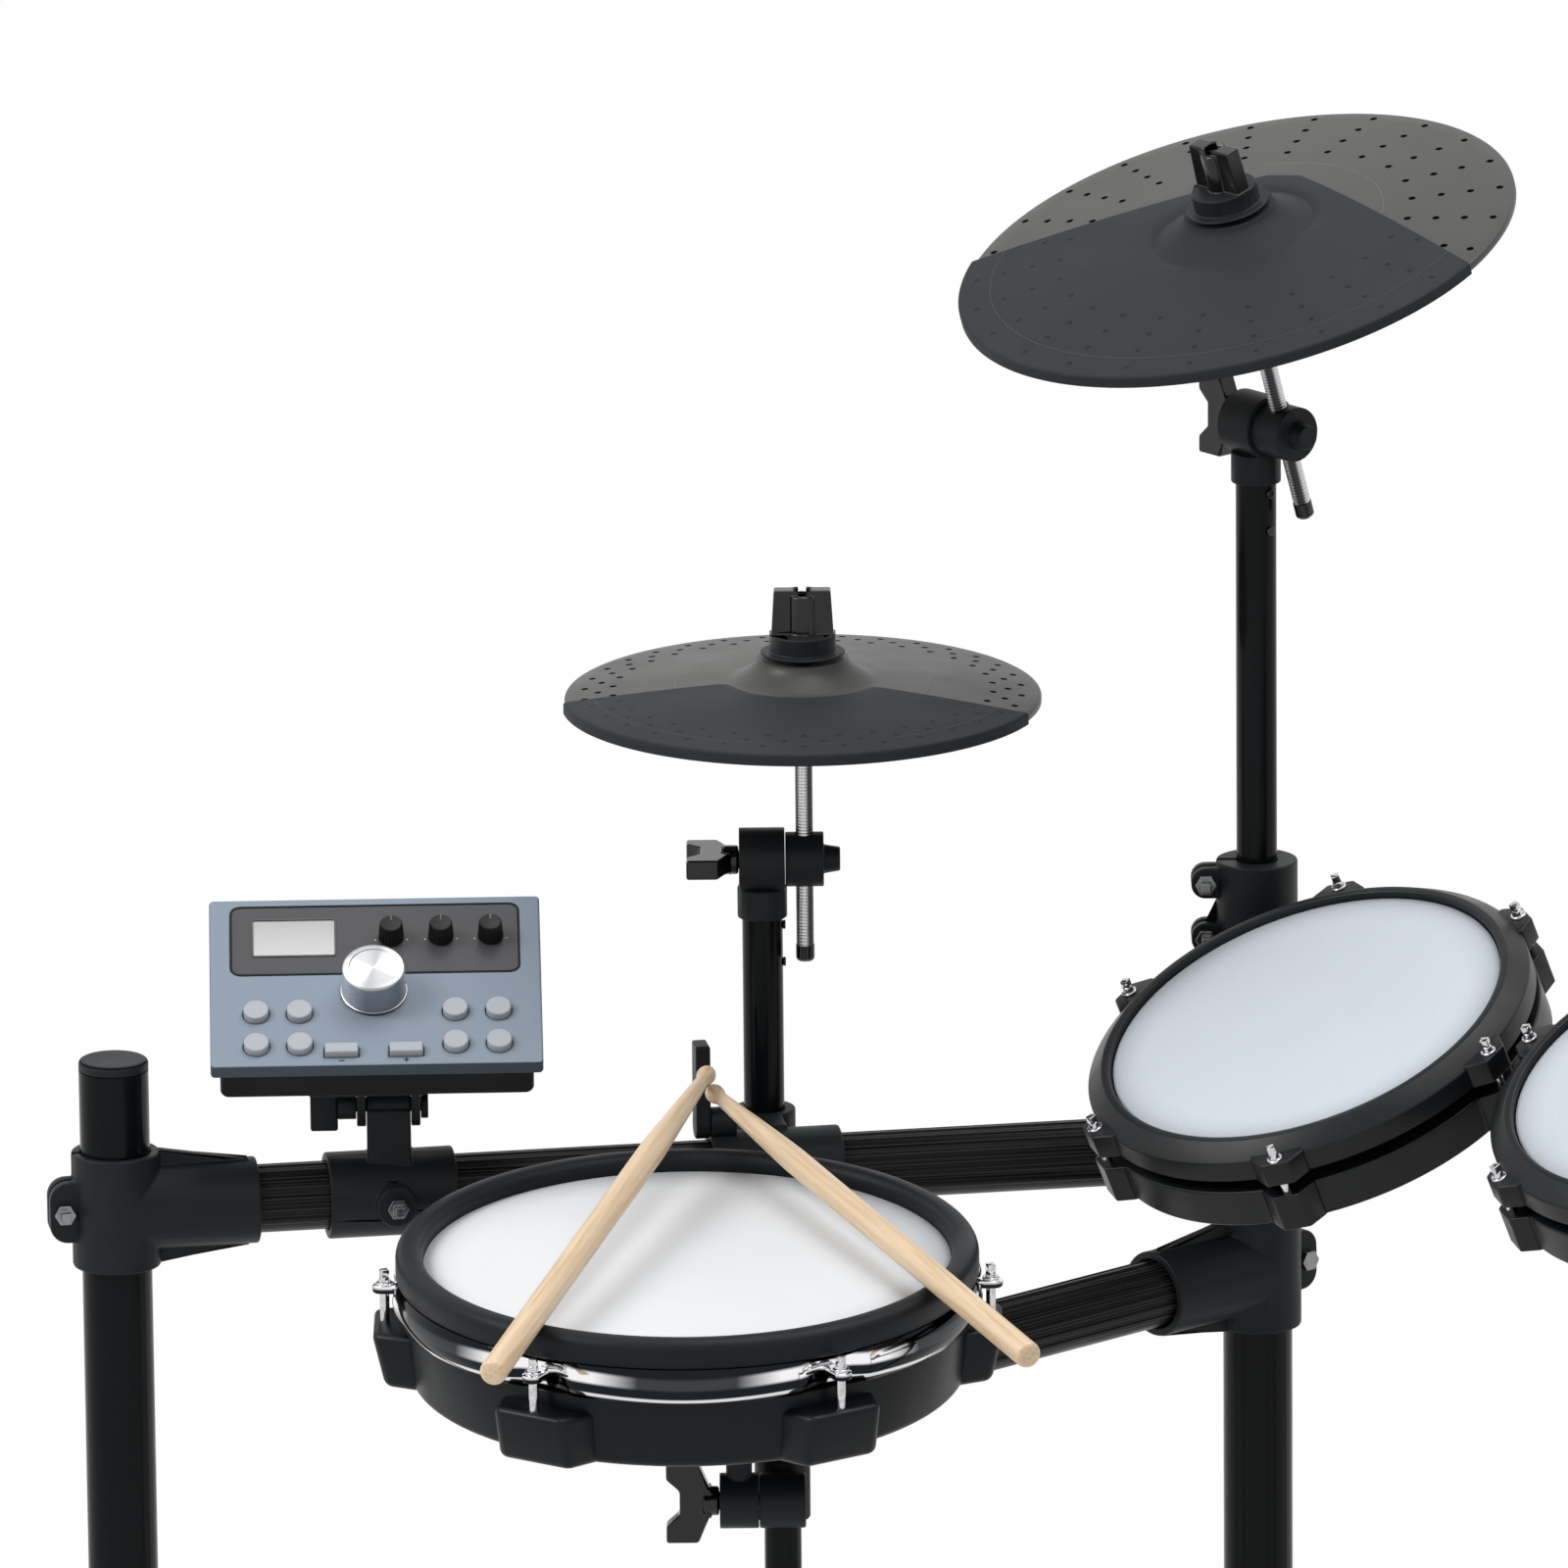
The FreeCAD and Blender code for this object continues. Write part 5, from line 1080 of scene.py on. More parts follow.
@dataclass
class CymbalArm:
    """Mast, tilter, cymbal pad and nuts of one cymbal."""

    shop: Workshop
    name: str
    radius: float
    edges: tuple[Point, ...]
    rings: Rings
    bell: Bell
    bell_radius: float = 0.043
    bell_top: float = 0.025
    bell_height: float = 0.021
    bell_lip: float = 0.002
    bell_ease: float = 0.003
    bow_rise: float = 0.009
    wall: float = 0.005
    edge_wall: float = 0.0034
    edge_round: float = 0.0015
    rim_drop: float = 0.0048
    rim_edge: float = 0.0008
    step: float = 0.001
    hole: float = 0.008
    seat_height: float = 0.016
    rubber_wall: float = 0.0016
    rubber_line: float = 0.89
    plate_line: float = 0.535
    skin: float = 0.00005
    skirt: float = 0.007
    rod_radius: float = 0.00475
    rod_tip: float = 0.009
    tip_wall: float = 0.0004
    tip_cut: Point = (0.001, 0.0016)
    tip_gap: float = 0.0003
    cup_height: float = 0.0131
    wing_foot: float = 0.001
    wing_drop: float = 0.0003
    wing_rounding: float = 0.001
    bolt_rounding: float = 0.0014
    tube_size: float = 0.1
    head_size: float = 0.03
    base_size: float = 0.02

    @property
    def place(self) -> Place:
        """The pad's frame on the rod's axis, with the rim's edge at height 0.

        Returns:
            The frame.
        """
        seat, across = self.shop.hinge(self.name + "_rock")
        up = self.shop.axis(self.name + "_wing_nut_turn")
        return Place.of(seat - up * self.seat_height, across, up)

    def build(self) -> None:
        """Dress the arm's nodes and make its pad."""
        def mast_part(size: Vector, _: Vector) -> int:
            """Tube, tilter base or screw, by size."""
            return 0 if size.z > self.tube_size else 1 if size.length > self.base_size else 2

        def tilter_part(size: Vector, _: Vector) -> int:
            """Rod, head or seat, by size."""
            return 1 if size.length > self.tube_size else 0 if size.length > self.head_size else 2

        name, shop = self.name, self.shop
        shop.softened(name + "_mast", ["gloss_black_tube", "moulded_black", "gloss_black"], choose=mast_part)
        shop.softened(name + "_wing_bolt", ["gloss_black"], self.bolt_rounding)
        shop.softened(name + "_tilter", ["moulded_black", KnurledRod(self.place).build(), "black_rubber"],
                      choose=tilter_part)
        cup_top = self.lowest(name + "_wing_nut") + self.cup_height
        inverse = self.place.matrix.inverted()

        def lower(bm: BMesh) -> None:
            """Take the wings down by what the rounding adds."""
            wings = [vert for vert in bm.verts if (inverse @ vert.co).z > cup_top + self.wing_foot]
            bmesh.ops.translate(bm, vec=shop.axis(name + "_wing_nut_turn") * -self.wing_drop, verts=wings)

        shop.softened(name + "_wing_nut", ["gloss_black", "moulded_black"], self.wing_rounding,
                      paint=lambda centre, _: int((inverse @ centre).z < cup_top), shape=lower)
        self.pad()
        self.tip()

    def lowest(self, node: str) -> float:
        """A node's lowest height in the pad's frame."""
        inverse = self.place.matrix.inverted()
        return min((inverse @ vert.co).z for vert in self.shop.nodes[node].data.vertices)

    def bow(self, lift: float, start: float, end: float, count: int = 14) -> list[Point]:
        """Points along the pad's bow.

        Args:
            lift: How far they stand over the plate's top.
            start: The first radius.
            end: The last radius.
            count: How many points there are.

        Returns:
            Points as (radius, height).
        """
        points = []
        for step in range(count):
            radius = start + (end - start) * step / (count - 1)
            share = max(0.0, (radius - self.bell_radius) / (self.radius - self.bell_radius))
            points.append((radius, self.bow_rise * (1 - share ** 1.2) + lift))
        return points

    def flank(self, count: int = 9) -> list[Point]:
        """Points down the bell's flared side, from its top to its foot.

        Args:
            count: How many points there are.

        Returns:
            Points as (radius, height).
        """
        points = []
        for step in range(count):
            share = step / (count - 1)
            radius = self.bell_top + (self.bell_radius - self.bell_top) * share ** 1.7
            points.append((radius, self.bell_height + (self.bow_rise - self.bell_height) * share))
        return points

    def pad(self) -> None:
        """Make the plate and its rubber strike zone."""
        place, name = self.place, self.name
        rubber = StrikeRubber(place, self.rings, self.radius * self.rubber_line).build()
        finishes = [PunchedPlate(place, self.rings, self.radius * self.plate_line).build(), rubber]
        body = self.shop.bodies[name + "_cymbal"]
        self.shop.piece(name + "_plate", self.disc(), finishes, body, place, sharp=50, node=name + "_cymbal")
        cover = self.shop.piece(name + "_strike_zone", self.zone(), [rubber], body, place, sharp=50)

    def disc(self) -> BMesh:
        """Turn the plate with its bell.

        Returns:
            The plate's mesh.
        """
        edge, under = self.edge_round, self.radius - self.edge_wall
        outline = [(self.hole, self.bell_height), (self.bell_top - self.bell_lip, self.bell_height)]
        outline += self.flank()
        outline += self.bow(0, self.bell_radius + self.bell_ease, self.radius - edge)
        outline += rounded((self.radius - edge, -edge), edge, 75, 0, 4)
        outline += [(self.radius, -self.rim_drop + self.rim_edge), (self.radius - self.rim_edge, -self.rim_drop),
                    (under, -self.rim_drop), (under, -self.edge_wall)]
        outline += self.bow(-self.edge_wall, under - self.step, self.bell_radius, 8)
        outline += [(self.bell_top, self.bell_height - self.wall), (self.hole, self.bell_height - self.wall)]
        bm = lathe(outline, 144, closed=True)
        if self.bell is Bell.RUBBER:
            for face in bm.faces:
                centre = face.calc_center_median()
                face.material_index = int(centre.xy.length < self.bell_radius + self.skirt and face.normal.z > 0.1)
        return bm

    def zone(self) -> BMesh:
        """Turn the rubber's ring and cut it to the strike zone.

        Returns:
            The strike zone's mesh.
        """
        low, high = self.skin, self.skin + self.rubber_wall
        inside, outside = self.radius + low, self.radius + high
        foot = self.bell_radius + self.step
        outline = self.bow(low, foot, self.radius)
        outline += [(inside, 0), (inside, -self.rim_drop), (outside, -self.rim_drop)]
        outline += rounded((outside - high, 0), high, 0, 80, 5)
        outline += self.bow(high, self.radius - self.step, foot + self.skirt)
        for run, rise in ((0.5, 0.7), (0.2, 0.35)):
            outline.append((foot + self.skirt * run, self.bow(high * rise, foot, foot, 2)[0][1]))
        bm = lathe(outline, 180, closed=True)
        for angle, reach in self.edges:
            away = Matrix.Rotation(math.radians(angle), 3, "Z") @ Vector((1, 0, 0))
            bmesh.ops.bisect_plane(bm, geom=bm.verts[:] + bm.edges[:] + bm.faces[:], dist=1e-6,
                                   plane_co=away * reach, plane_no=away, clear_outer=True)
            bmesh.ops.holes_fill(bm, edges=[edge for edge in bm.edges if edge.is_boundary], sides=0)
        bmesh.ops.recalc_face_normals(bm, faces=bm.faces)
        return bm

    def tip(self) -> None:
        """Cap the rod's lower end."""
        low, outer = self.lowest(self.name + "_tilter"), self.rod_radius + self.tip_wall
        cap = [(0, 0), (self.rod_radius - self.tip_cut[0], 0), (outer, self.tip_cut[1]), (outer, self.rod_tip),
               (self.rod_radius, self.rod_tip)]
        piece = self.shop.piece(self.name + "_rod_cap", lathe(cap, 28), ["gloss_black"],
                                self.shop.bodies[self.name + "_tilter"], self.place.moved(z=low - self.tip_gap))


@dataclass
class DrumHead:
    """A stretched mesh head."""

    shop: Workshop
    node: str
    radius: float
    colour: Colour
    wall: float = 0.0011
    sink: float = 0.0001

    def build(self, place: Place) -> None:
        """Make the head.

        Args:
            place: Its frame, with the head's top at height 0.
        """
        profile = [(self.radius * share, -self.sink) for share in (0, 0.4, 0.8, 1)]
        head = self.shop.piece(self.node + "_mesh", lathe(profile, 128), [WovenMesh(place, self.colour).build()],
                               self.shop.bodies[self.node], place, node=self.node)
        thickness = head.modifiers.new("thickness", "SOLIDIFY")
        thickness.thickness = self.wall
        thickness.offset = -1
        self.radius * 2
        self.radius * 2
        math.pi * self.radius ** 2


@dataclass
class SnarePad:
    """The snare pad and its tilter."""

    shop: Workshop
    tilt: float = 3.0
    side: float = -0.0497
    forward: float = -0.0119
    lift: float = 0.1408
    bolt_rounding: float = 0.0014
    head_radius: float = 0.1413
    head_gap: float = 0.0003
    head_colour: Colour = (0.765, 0.785, 0.81)
    rim_width: float = 0.0147
    rim_rise: float = 0.011
    rim_foot: float = -0.0045
    rim_edge: float = 0.0066
    rim_cut: float = 0.001
    hoop_foot: float = -0.023
    hoop_bulge: float = 0.003
    hoop_play: float = 0.0006
    hoop_edge: float = 0.0008
    hoop_lip: float = 0.001
    hoop_steps: int = 16
    lugs: int = 6
    hoop_neck: float = 0.004
    neck_half: float = 2.6
    neck_ease: float = 5.5
    neck_depth: float = 0.2
    neck_height: float = 0.7
    rod_reach: float = 0.162
    ear_radius: float = 0.008
    ear_length: float = 0.018
    ear_wall: float = 0.0042
    ear_edge: float = 0.0009
    ear_corner: float = 0.005
    ear_back: float = 0.0025
    ear_drop: float = 0.0015
    rod_radius: float = 0.0026
    rod_foot: float = -0.041
    rod_seat: float = 0.0027
    washer: float = 0.0046
    key: float = 0.0044
    shell_radius: float = 0.152
    shell_taper: float = 0.003
    shell_wall: float = 0.004
    shell_foot: float = -0.0625
    shell_edge: float = 0.005
    shell_lip: float = 0.0015
    shell_fit: float = 0.0002
    lug_root: float = 0.140
    lug_reach: float = 0.169
    lug_width: float = 0.062
    lug_face: float = 0.68
    lug_top: float = -0.032
    lug_lean: float = 0.007
    lug_edge: float = 0.0042
    cone_foot: float = 0.022
    cone_top: float = 0.012
    cone_edge: float = 0.001
    cone_gap: float = 0.0017

    @property
    def place(self) -> Place:
        """The pad's frame, with the head's top at height 0."""
        return self.shop.upright("snare_tilt").tipped(self.tilt).moved(self.side, self.forward, self.lift)

    def build(self) -> None:
        """Make the pad's rim, hoop and head and dress the rest."""
        shop = self.shop
        shop.softened("snare_mount", ["moulded_black"])
        shop.softened("snare_wing_bolt", ["gloss_black"], self.bolt_rounding)
        DrumHead(shop, "snare_head", self.head_radius - self.head_gap, self.head_colour).build(self.place)
        self.rim()
        self.hoop()
        self.rods()
        self.shell()

    def rim(self) -> None:
        """Make the rubber rim."""
        inner, outer = self.head_radius, self.head_radius + self.rim_width
        edge, shoulder, foot, cut = self.rim_edge, self.rim_rise - self.rim_edge, self.rim_foot, self.rim_cut
        outline = [(inner, foot), (outer - cut, foot), (outer, foot + cut)]
        outline += rounded((outer - edge, shoulder), edge, 0, 88, 9)
        outline += rounded((inner + edge, shoulder), edge, 92, 180, 9)
        bm = lathe(outline, 160, closed=True)
        self.shop.piece("snare_rim_ring", bm, ["rim_rubber"], "snare", self.place, sharp=60, node="snare_rim")

    def hoop(self) -> None:
        """Make the hoop, drawn in at the tension rods, with an ear for each."""
        outer, inner = self.head_radius + self.rim_width, self.head_radius + self.hoop_play
        top, foot = self.rim_foot, self.hoop_foot
        outline = [(inner, foot), (outer - self.hoop_edge, foot)]
        for step in range(self.hoop_steps + 1):
            share = step / self.hoop_steps
            outline.append((outer + self.hoop_bulge * math.sin(math.pi * share) ** 0.8, foot + (top - foot) * share))
        outline += [(outer - self.hoop_lip, top), (inner, top)]
        band = lathe(outline, 240, closed=True)
        pitch, middle, root = FULL_TURN / self.lugs, (top + foot) / 2, outer - self.hoop_neck
        for vert in band.verts:
            radius = vert.co.xy.length
            if radius < root:
                continue
            turn = math.degrees(math.atan2(vert.co.y, vert.co.x))
            away = abs((turn + pitch / 2) % pitch - pitch / 2)
            share = min(1.0, max(0.0, (away - self.neck_half) / self.neck_ease))
            share = share * share * (3 - 2 * share)
            vert.co.xy *= (root + (radius - root) * (self.neck_depth + (1 - self.neck_depth) * share)) / radius
            vert.co.z = middle + (vert.co.z - middle) * (self.neck_height + (1 - self.neck_height) * share)
        parts = [(band, ORIGIN)]
        for turned in turns(self.lugs):
            ear = thicken(plate(self.ear_length, self.ear_radius * 1.3, self.ear_corner), self.ear_wall)
            bevel(ear, [edge for edge in ear.edges if edge.calc_face_angle(0) > 1.2], self.ear_edge, 2)
            parts.append((ear, turned.moved(self.rod_reach - self.ear_back, z=middle - self.ear_drop)))
        # the hoop's plating carries painted reflections in its colour
        painted_reflection_plating = ReflectionPaintedBand(self.place, foot, top).build()
        self.shop.piece("snare_hoop_band", gathered(parts), [painted_reflection_plating], "snare", self.place, sharp=40,
                        node="snare_hoop")

    def rods(self) -> None:
        """Make the tension rods with their washers and square heads."""
        seat = (self.rim_foot + self.hoop_foot) / 2 + self.rod_seat
        rods = []
        for turned in turns(self.lugs):
            rods += tension_screw(turned.moved(self.rod_reach), seat, self.rod_foot, self.rod_radius, self.washer,
                                  self.key)
        screws = self.shop.piece("snare_tension_rods", gathered(rods), ["chrome"], "snare", self.place)

    def shell(self) -> None:
        """Make the shell with its lug blocks and the sensor in it."""
        foot, wall, edge, lip = self.shell_foot, self.shell_wall, self.shell_edge, self.shell_lip
        neck, seat, top = self.head_radius - self.shell_fit, self.head_radius - wall, self.hoop_foot - self.shell_fit
        outline = [(0, foot)] + rounded((self.shell_radius - self.shell_taper - edge, foot + edge), edge, -90, -4, 7)
        outline += rounded((self.shell_radius - lip, top - lip), lip, 0, 90, 4)
        outline += [(neck, top), (neck, -lip), (seat, -lip), (seat, foot + wall), (0, foot + wall)]
        parts = [(lathe(outline, 160), ORIGIN)] + [(self.lug(), turned) for turned in turns(self.lugs)]
        self.shop.piece("snare_shell_body", gathered(parts), ["shell_black"], "snare", self.place, node="snare_shell")
        cone = round_bar(self.cone_foot, self.cone_top, -foot - wall - self.cone_gap, 40, self.cone_edge)
        sensor = self.shop.piece("snare_sensor_cone", cone, ["foam"], "snare", self.place.moved(z=foot + wall))

    def lug(self) -> BMesh:
        """A lug block that narrows outwards and leans in towards its foot.

        Returns:
            The block's mesh.
        """
        depth, height = self.lug_reach - self.lug_root, self.lug_top - self.shell_foot
        bm = block((depth, self.lug_width, height))
        bmesh.ops.translate(bm, vec=(self.lug_root + depth / 2, 0, self.shell_foot + height / 2), verts=bm.verts)
        outer = [vert for vert in bm.verts if vert.co.x > self.lug_root + depth / 2]
        bmesh.ops.scale(bm, vec=(1, self.lug_face, 1), verts=outer)
        low = [vert for vert in outer if vert.co.z < self.shell_foot + height / 2]
        bmesh.ops.translate(bm, vec=(-self.lug_lean, 0, 0), verts=low)
        bevel(bm, bm.edges[:], self.lug_edge, 4)
        return bm


@dataclass
class TomPad:
    """One tom pad."""

    shop: Workshop
    number: int
    tilt: float = 24.1
    height: float = 0.070
    head_radius: float = 0.1095
    head_colour: Colour = (0.62, 0.668, 0.725)
    hoop_inner: float = 0.1101
    hoop_outer: float = 0.125
    hoop_foot: float = -0.015
    hoop_top: float = 0.005
    hoop_edge: float = 0.0016
    hoop_cut: float = 0.0008
    slope_in: float = 0.0044
    slope_drop: float = 0.0026
    lip_edge: float = 0.0012
    lip_foot: float = 0.0004
    lugs: int = 6
    lug_turn: float = 8.5
    lug_root: float = 0.1175
    lug_shoulder: float = 0.125
    lug_reach: float = 0.134
    lug_width: float = 0.03
    lug_face: float = 0.015
    lug_top: float = -0.001
    rounding: float = 0.0011
    screw_reach: float = 0.129
    screw_radius: float = 0.0026
    screw_foot: float = -0.024
    washer: float = 0.0044
    key: float = 0.0044
    ring_size: float = 0.2
    sensor_size: float = 0.045

    def build(self) -> None:
        """Dress the tom's frame and make its hoop, screws and head."""
        shop, name = self.shop, f"tom_{self.number}"
        place = shop.upright(name + "_tilt").tipped(self.tilt).moved(z=self.height)
        inverse = place.matrix.inverted()

        def part(size: Vector, centre: Vector) -> int:
            """Tell frame and sensor from the hoop and the screws, which are made anew.

            Args:
                size: The solid's size.
                centre: Its centre.

            Returns:
                Its slot.
            """
            if size.length > self.ring_size:
                return DROPPED if (inverse @ centre).z > self.hoop_foot else 0
            return DROPPED if size.length < self.sensor_size else 1

        shop.softened(name + "_frame", ["pad_black", "foam"], self.rounding, choose=part)
        DrumHead(shop, name + "_head", self.head_radius, self.head_colour).build(place)
        parts, screws = [(self.ring(), ORIGIN)], []
        for spot in turns(self.lugs, self.lug_turn):
            parts.append((self.lug(), spot.moved(z=self.hoop_foot)))
            screws += tension_screw(spot.moved(self.screw_reach), self.lug_top, self.screw_foot, self.screw_radius,
                                    self.washer, self.key)
        hoop = shop.piece(name + "_hoop", gathered(parts), ["pad_black"], name, place)
        bolts = shop.piece(name + "_screws", gathered(screws), ["chrome"], name, place)

    def ring(self) -> BMesh:
        """The hoop's ring with a wide sloping top and a lip at the head.

        Returns:
            The ring's mesh.
        """
        inner, outer, low, top, edge = self.hoop_inner, self.hoop_outer, self.hoop_foot, self.hoop_top, self.hoop_edge
        outline = [(inner, low), (outer - self.hoop_cut, low), (outer, low + self.hoop_cut)]
        outline += rounded((outer - edge, self.lug_top - self.slope_drop), edge, 0, 50, 4)
        outline += rounded((inner + self.slope_in, top - edge), edge, 50, 90, 4)
        outline += rounded((inner + edge, top - self.lip_edge), self.lip_edge, 90, 160, 4)
        outline.append((inner, self.lip_foot))
        return lathe(outline, 144, closed=True)

    def lug(self) -> BMesh:
        """A lug block of the hoop with cut corners.

        Returns:
            The block's mesh.
        """
        bm = bmesh.new()
        half, face = self.lug_width / 2, self.lug_face / 2
        corners = [(self.lug_root, -half), (self.lug_shoulder, -half), (self.lug_reach, -face),
                   (self.lug_reach, face), (self.lug_shoulder, half), (self.lug_root, half)]
        bm.faces.new([bm.verts.new((x, y, 0)) for x, y in corners])
        thicken(bm, self.lug_top - self.hoop_foot)
        bevel(bm, bm.edges[:], self.rounding, 3)
        return bm


@dataclass
class SoundModule:
    """The sound module with its controls and bracket."""

    shop: Workshop
    tilt: float = 31.0
    side: float = -0.006
    back: float = 0.0312
    lift: float = 0.0647
    case: Point = (0.180, 0.124)
    case_rounding: float = 0.0012
    base_inset: float = 0.005
    cad_corner: float = 0.009
    top_corner: float = 0.0025
    base_corner: float = 0.005
    gap: float = 0.00002
    panel: Point = (0.156, 0.05)
    panel_back: float = 0.031
    panel_corner: float = 0.005
    panel_rounding: float = 0.0003
    border_reach: float = 0.0008
    border_width: float = 0.0011
    border_rise: float = 0.0003
    screen: Point = (0.045, 0.027)
    screen_at: Point = (-0.044, 0.033)
    screen_corner: float = 0.0015
    screen_wall: float = 0.001
    screen_sink: float = 0.0012
    surround_reach: float = 0.0006
    surround_corner: float = 0.002
    surround_rise: float = 0.0004
    buttons: tuple[tuple[str, int], ...] = (("round", 8), ("bar", 2))
    button_rounding: float = 0.0009
    control_gap: float = 0.0003
    knobs: int = 3
    knob_radius: float = 0.007
    knob_height: float = 0.012
    knob_edge: float = 0.0008
    knob_flutes: int = 24
    knob_draft: float = 0.0008
    flute_depth: float = 0.93
    pointer_width: float = 0.0009
    pointer_corner: float = 0.0003
    pointer_rise: float = 0.0002
    dial_radius: float = 0.018
    dial_height: float = 0.02
    dial_edge: float = 0.0016
    dial_draft: float = 0.001
    dial_rim: float = 0.0045
    dial_dish: float = 0.0005
    collar: tuple[Point, ...] = ((0.001, 0.0003), (0, 0.0008), (0, 0.0018), (0.0004, 0.002))
    shade_line_top: float = 0.0019
    tick_spots: tuple[Point, ...] = ((0.009, 0.032), (0.036, 0.032), (0.063, 0.032))
    tick_reach: float = 0.0088
    tick_turns: Point = (-10.0, 190.0)
    tick_radius: float = 0.00045
    print_rise: float = 0.00015
    sign_row: float = -0.0585
    sign_spots: Point = (-0.019, 0.016)
    sign_length: float = 0.003
    sign_width: float = 0.0007
    sign_corner: float = 0.0001
    pin_radius: float = 0.004
    pin_length: float = 0.0352
    lever_hub: float = 0.008
    hub_length: float = 0.01
    hub_edge: float = 0.0006
    lever_grip: Colour = (0.022, 0.008, 0.015)
    grip_edge: float = 0.0014

    @property
    def face(self) -> Place:
        """The frame of the case's face."""
        return self.shop.upright("module_tilt").tipped(self.tilt).moved(self.side, self.back, self.lift)

    def build(self) -> None:
        """Make the module's panel, screen and controls and dress the rest."""
        shop = self.shop
        normal = self.face.matrix.to_3x3() @ UP
        shop.softened("module_upper_case", ["case_blue", "case_slate"], self.case_rounding,
                      paint=lambda _, out: int(out.dot(normal) < 0.6),
                      shape=lambda bm: self.square(bm, 0, self.top_corner))
        shop.softened("module_lower_case", ["case_black"], self.case_rounding,
                      shape=lambda bm: self.square(bm, self.base_inset, self.base_corner))
        shop.softened("module_panel", ["panel_grey"], self.panel_rounding)
        shop.dressed("module_board", "board_green")
        shop.softened("module_bracket", ["moulded_black"])
        for kind, count in self.buttons:
            for number in range(1, count + 1):
                shop.softened(f"{kind}_button_{number}", ["button_grey"], self.button_rounding)
        self.lever()
        self.border()
        self.display()
        self.dial()
        for number in range(1, self.knobs + 1):
            self.knob(f"volume_knob_{number}")
        self.marks()

    def square(self, bm: BMesh, inset: float, radius: float) -> None:
        """Draw the case's rounded corners out to a smaller radius.

        Args:
            bm: A merged copy of a half of the case.
            inset: How far it stands in from the case's outline.
            radius: The new radius.
        """
        wide, deep = (size / 2 - inset for size in self.case)
        inverse = self.face.matrix.inverted()
        for vert in bm.verts:
            spot = inverse @ vert.co
            x, y = abs(spot.x) - wide + self.cad_corner, abs(spot.y) - deep + self.cad_corner
            length = math.hypot(x, y)
            if min(x, y) > 1e-6 and abs(length - self.cad_corner) < 0.0002:
                spot.x = math.copysign(wide - radius + x / length * radius, spot.x)
                spot.y = math.copysign(deep - radius + y / length * radius, spot.y)
                vert.co = self.face.matrix @ spot

    def lever(self) -> None:
        """Make the bracket's lever: pin, nut, hub and grip."""
        spot, across = self.shop.hinge("module_lever_turn")
        half, hub, grip, edge = self.pin_length / 2, self.lever_hub, self.lever_grip, self.hub_edge
        foot = -half - self.hub_length
        handle = block(grip)
        bevel(handle, handle.edges[:], self.grip_edge, 3)
        parts = [(round_bar(self.pin_radius, self.pin_radius, half * 2), ORIGIN.moved(z=-half)),
                 (round_bar(hub, hub, self.pin_radius, 32, edge), ORIGIN.moved(z=half)),
                 (round_bar(hub, hub, self.hub_length, 40, edge), ORIGIN.moved(z=foot)),
                 (handle, ORIGIN.moved(hub - grip[0] / 2, z=foot - grip[2] / 2))]
        self.shop.piece("module_lever_form", gathered(parts), ["moulded_black"], self.shop.bodies["module_lever"],
                        Place.of(spot, UP, across), node="module_lever")

    def border(self) -> None:
        """Lay the dark line round the panel."""
        reach = self.border_reach
        bm = plate(self.panel[0] + reach * 2, self.panel[1] + reach * 2, self.panel_corner + reach, 8)
        piece = self.shop.piece("panel_border", flat_frame(bm, self.border_width, self.border_rise), ["case_black"],
                                "module", self.face.moved(y=self.panel_back, z=self.gap))

    def display(self) -> None:
        """Make the display with its dark surround."""
        spot, reach = self.face.moved(*self.screen_at), self.surround_reach
        glass = thicken(plate(*self.screen, self.screen_corner), self.screen_wall)
        self.shop.piece("display_window", glass, [Display(spot).build()], "module", spot.moved(z=-self.screen_sink),
                        node="module_screen")
        bm = plate(self.screen[0] + reach * 2, self.screen[1] + reach * 2, self.surround_corner)
        frame = self.shop.piece("display_surround", flat_frame(bm, self.screen_wall, self.surround_rise),
                                ["gloss_black"], "module", spot.moved(z=self.gap))

    def turning(self, node: str) -> Place:
        """The frame of a dial or knob, with Z along its axis."""
        spot, up = self.shop.hinge(node + "_turn")
        return Place.of(spot, self.shop.axis("module_tilt"), up)

    def dial(self) -> None:
        """Make the spun dial, with its collar painted black as the shade line at its foot."""
        place, radius, height = self.turning("dial"), self.dial_radius, self.dial_height
        edge, draft, rim, dish = self.dial_edge, self.dial_draft, self.dial_rim, self.dial_dish
        outline = [(0, self.control_gap)] + [(radius - inset, rise) for inset, rise in self.collar]
        outline += [(radius - draft, height - edge)] + rounded((radius - draft - edge, height - edge), edge, 0, 80, 6)
        outline += [(radius - rim, height), (radius - rim - dish, height - dish), (0, height - dish)]
        bm = lathe(outline, 120)
        for face in bm.faces:
            # painted shade: faces at the dial's foot are black for the dark line of shade there
            face.material_index = int(face.calc_center_median().z < self.shade_line_top)
        self.shop.piece("dial_cap", bm, [SpunMetal(place).build(), "gloss_black"], self.shop.bodies["dial"], place,
                        sharp=30, node="dial")

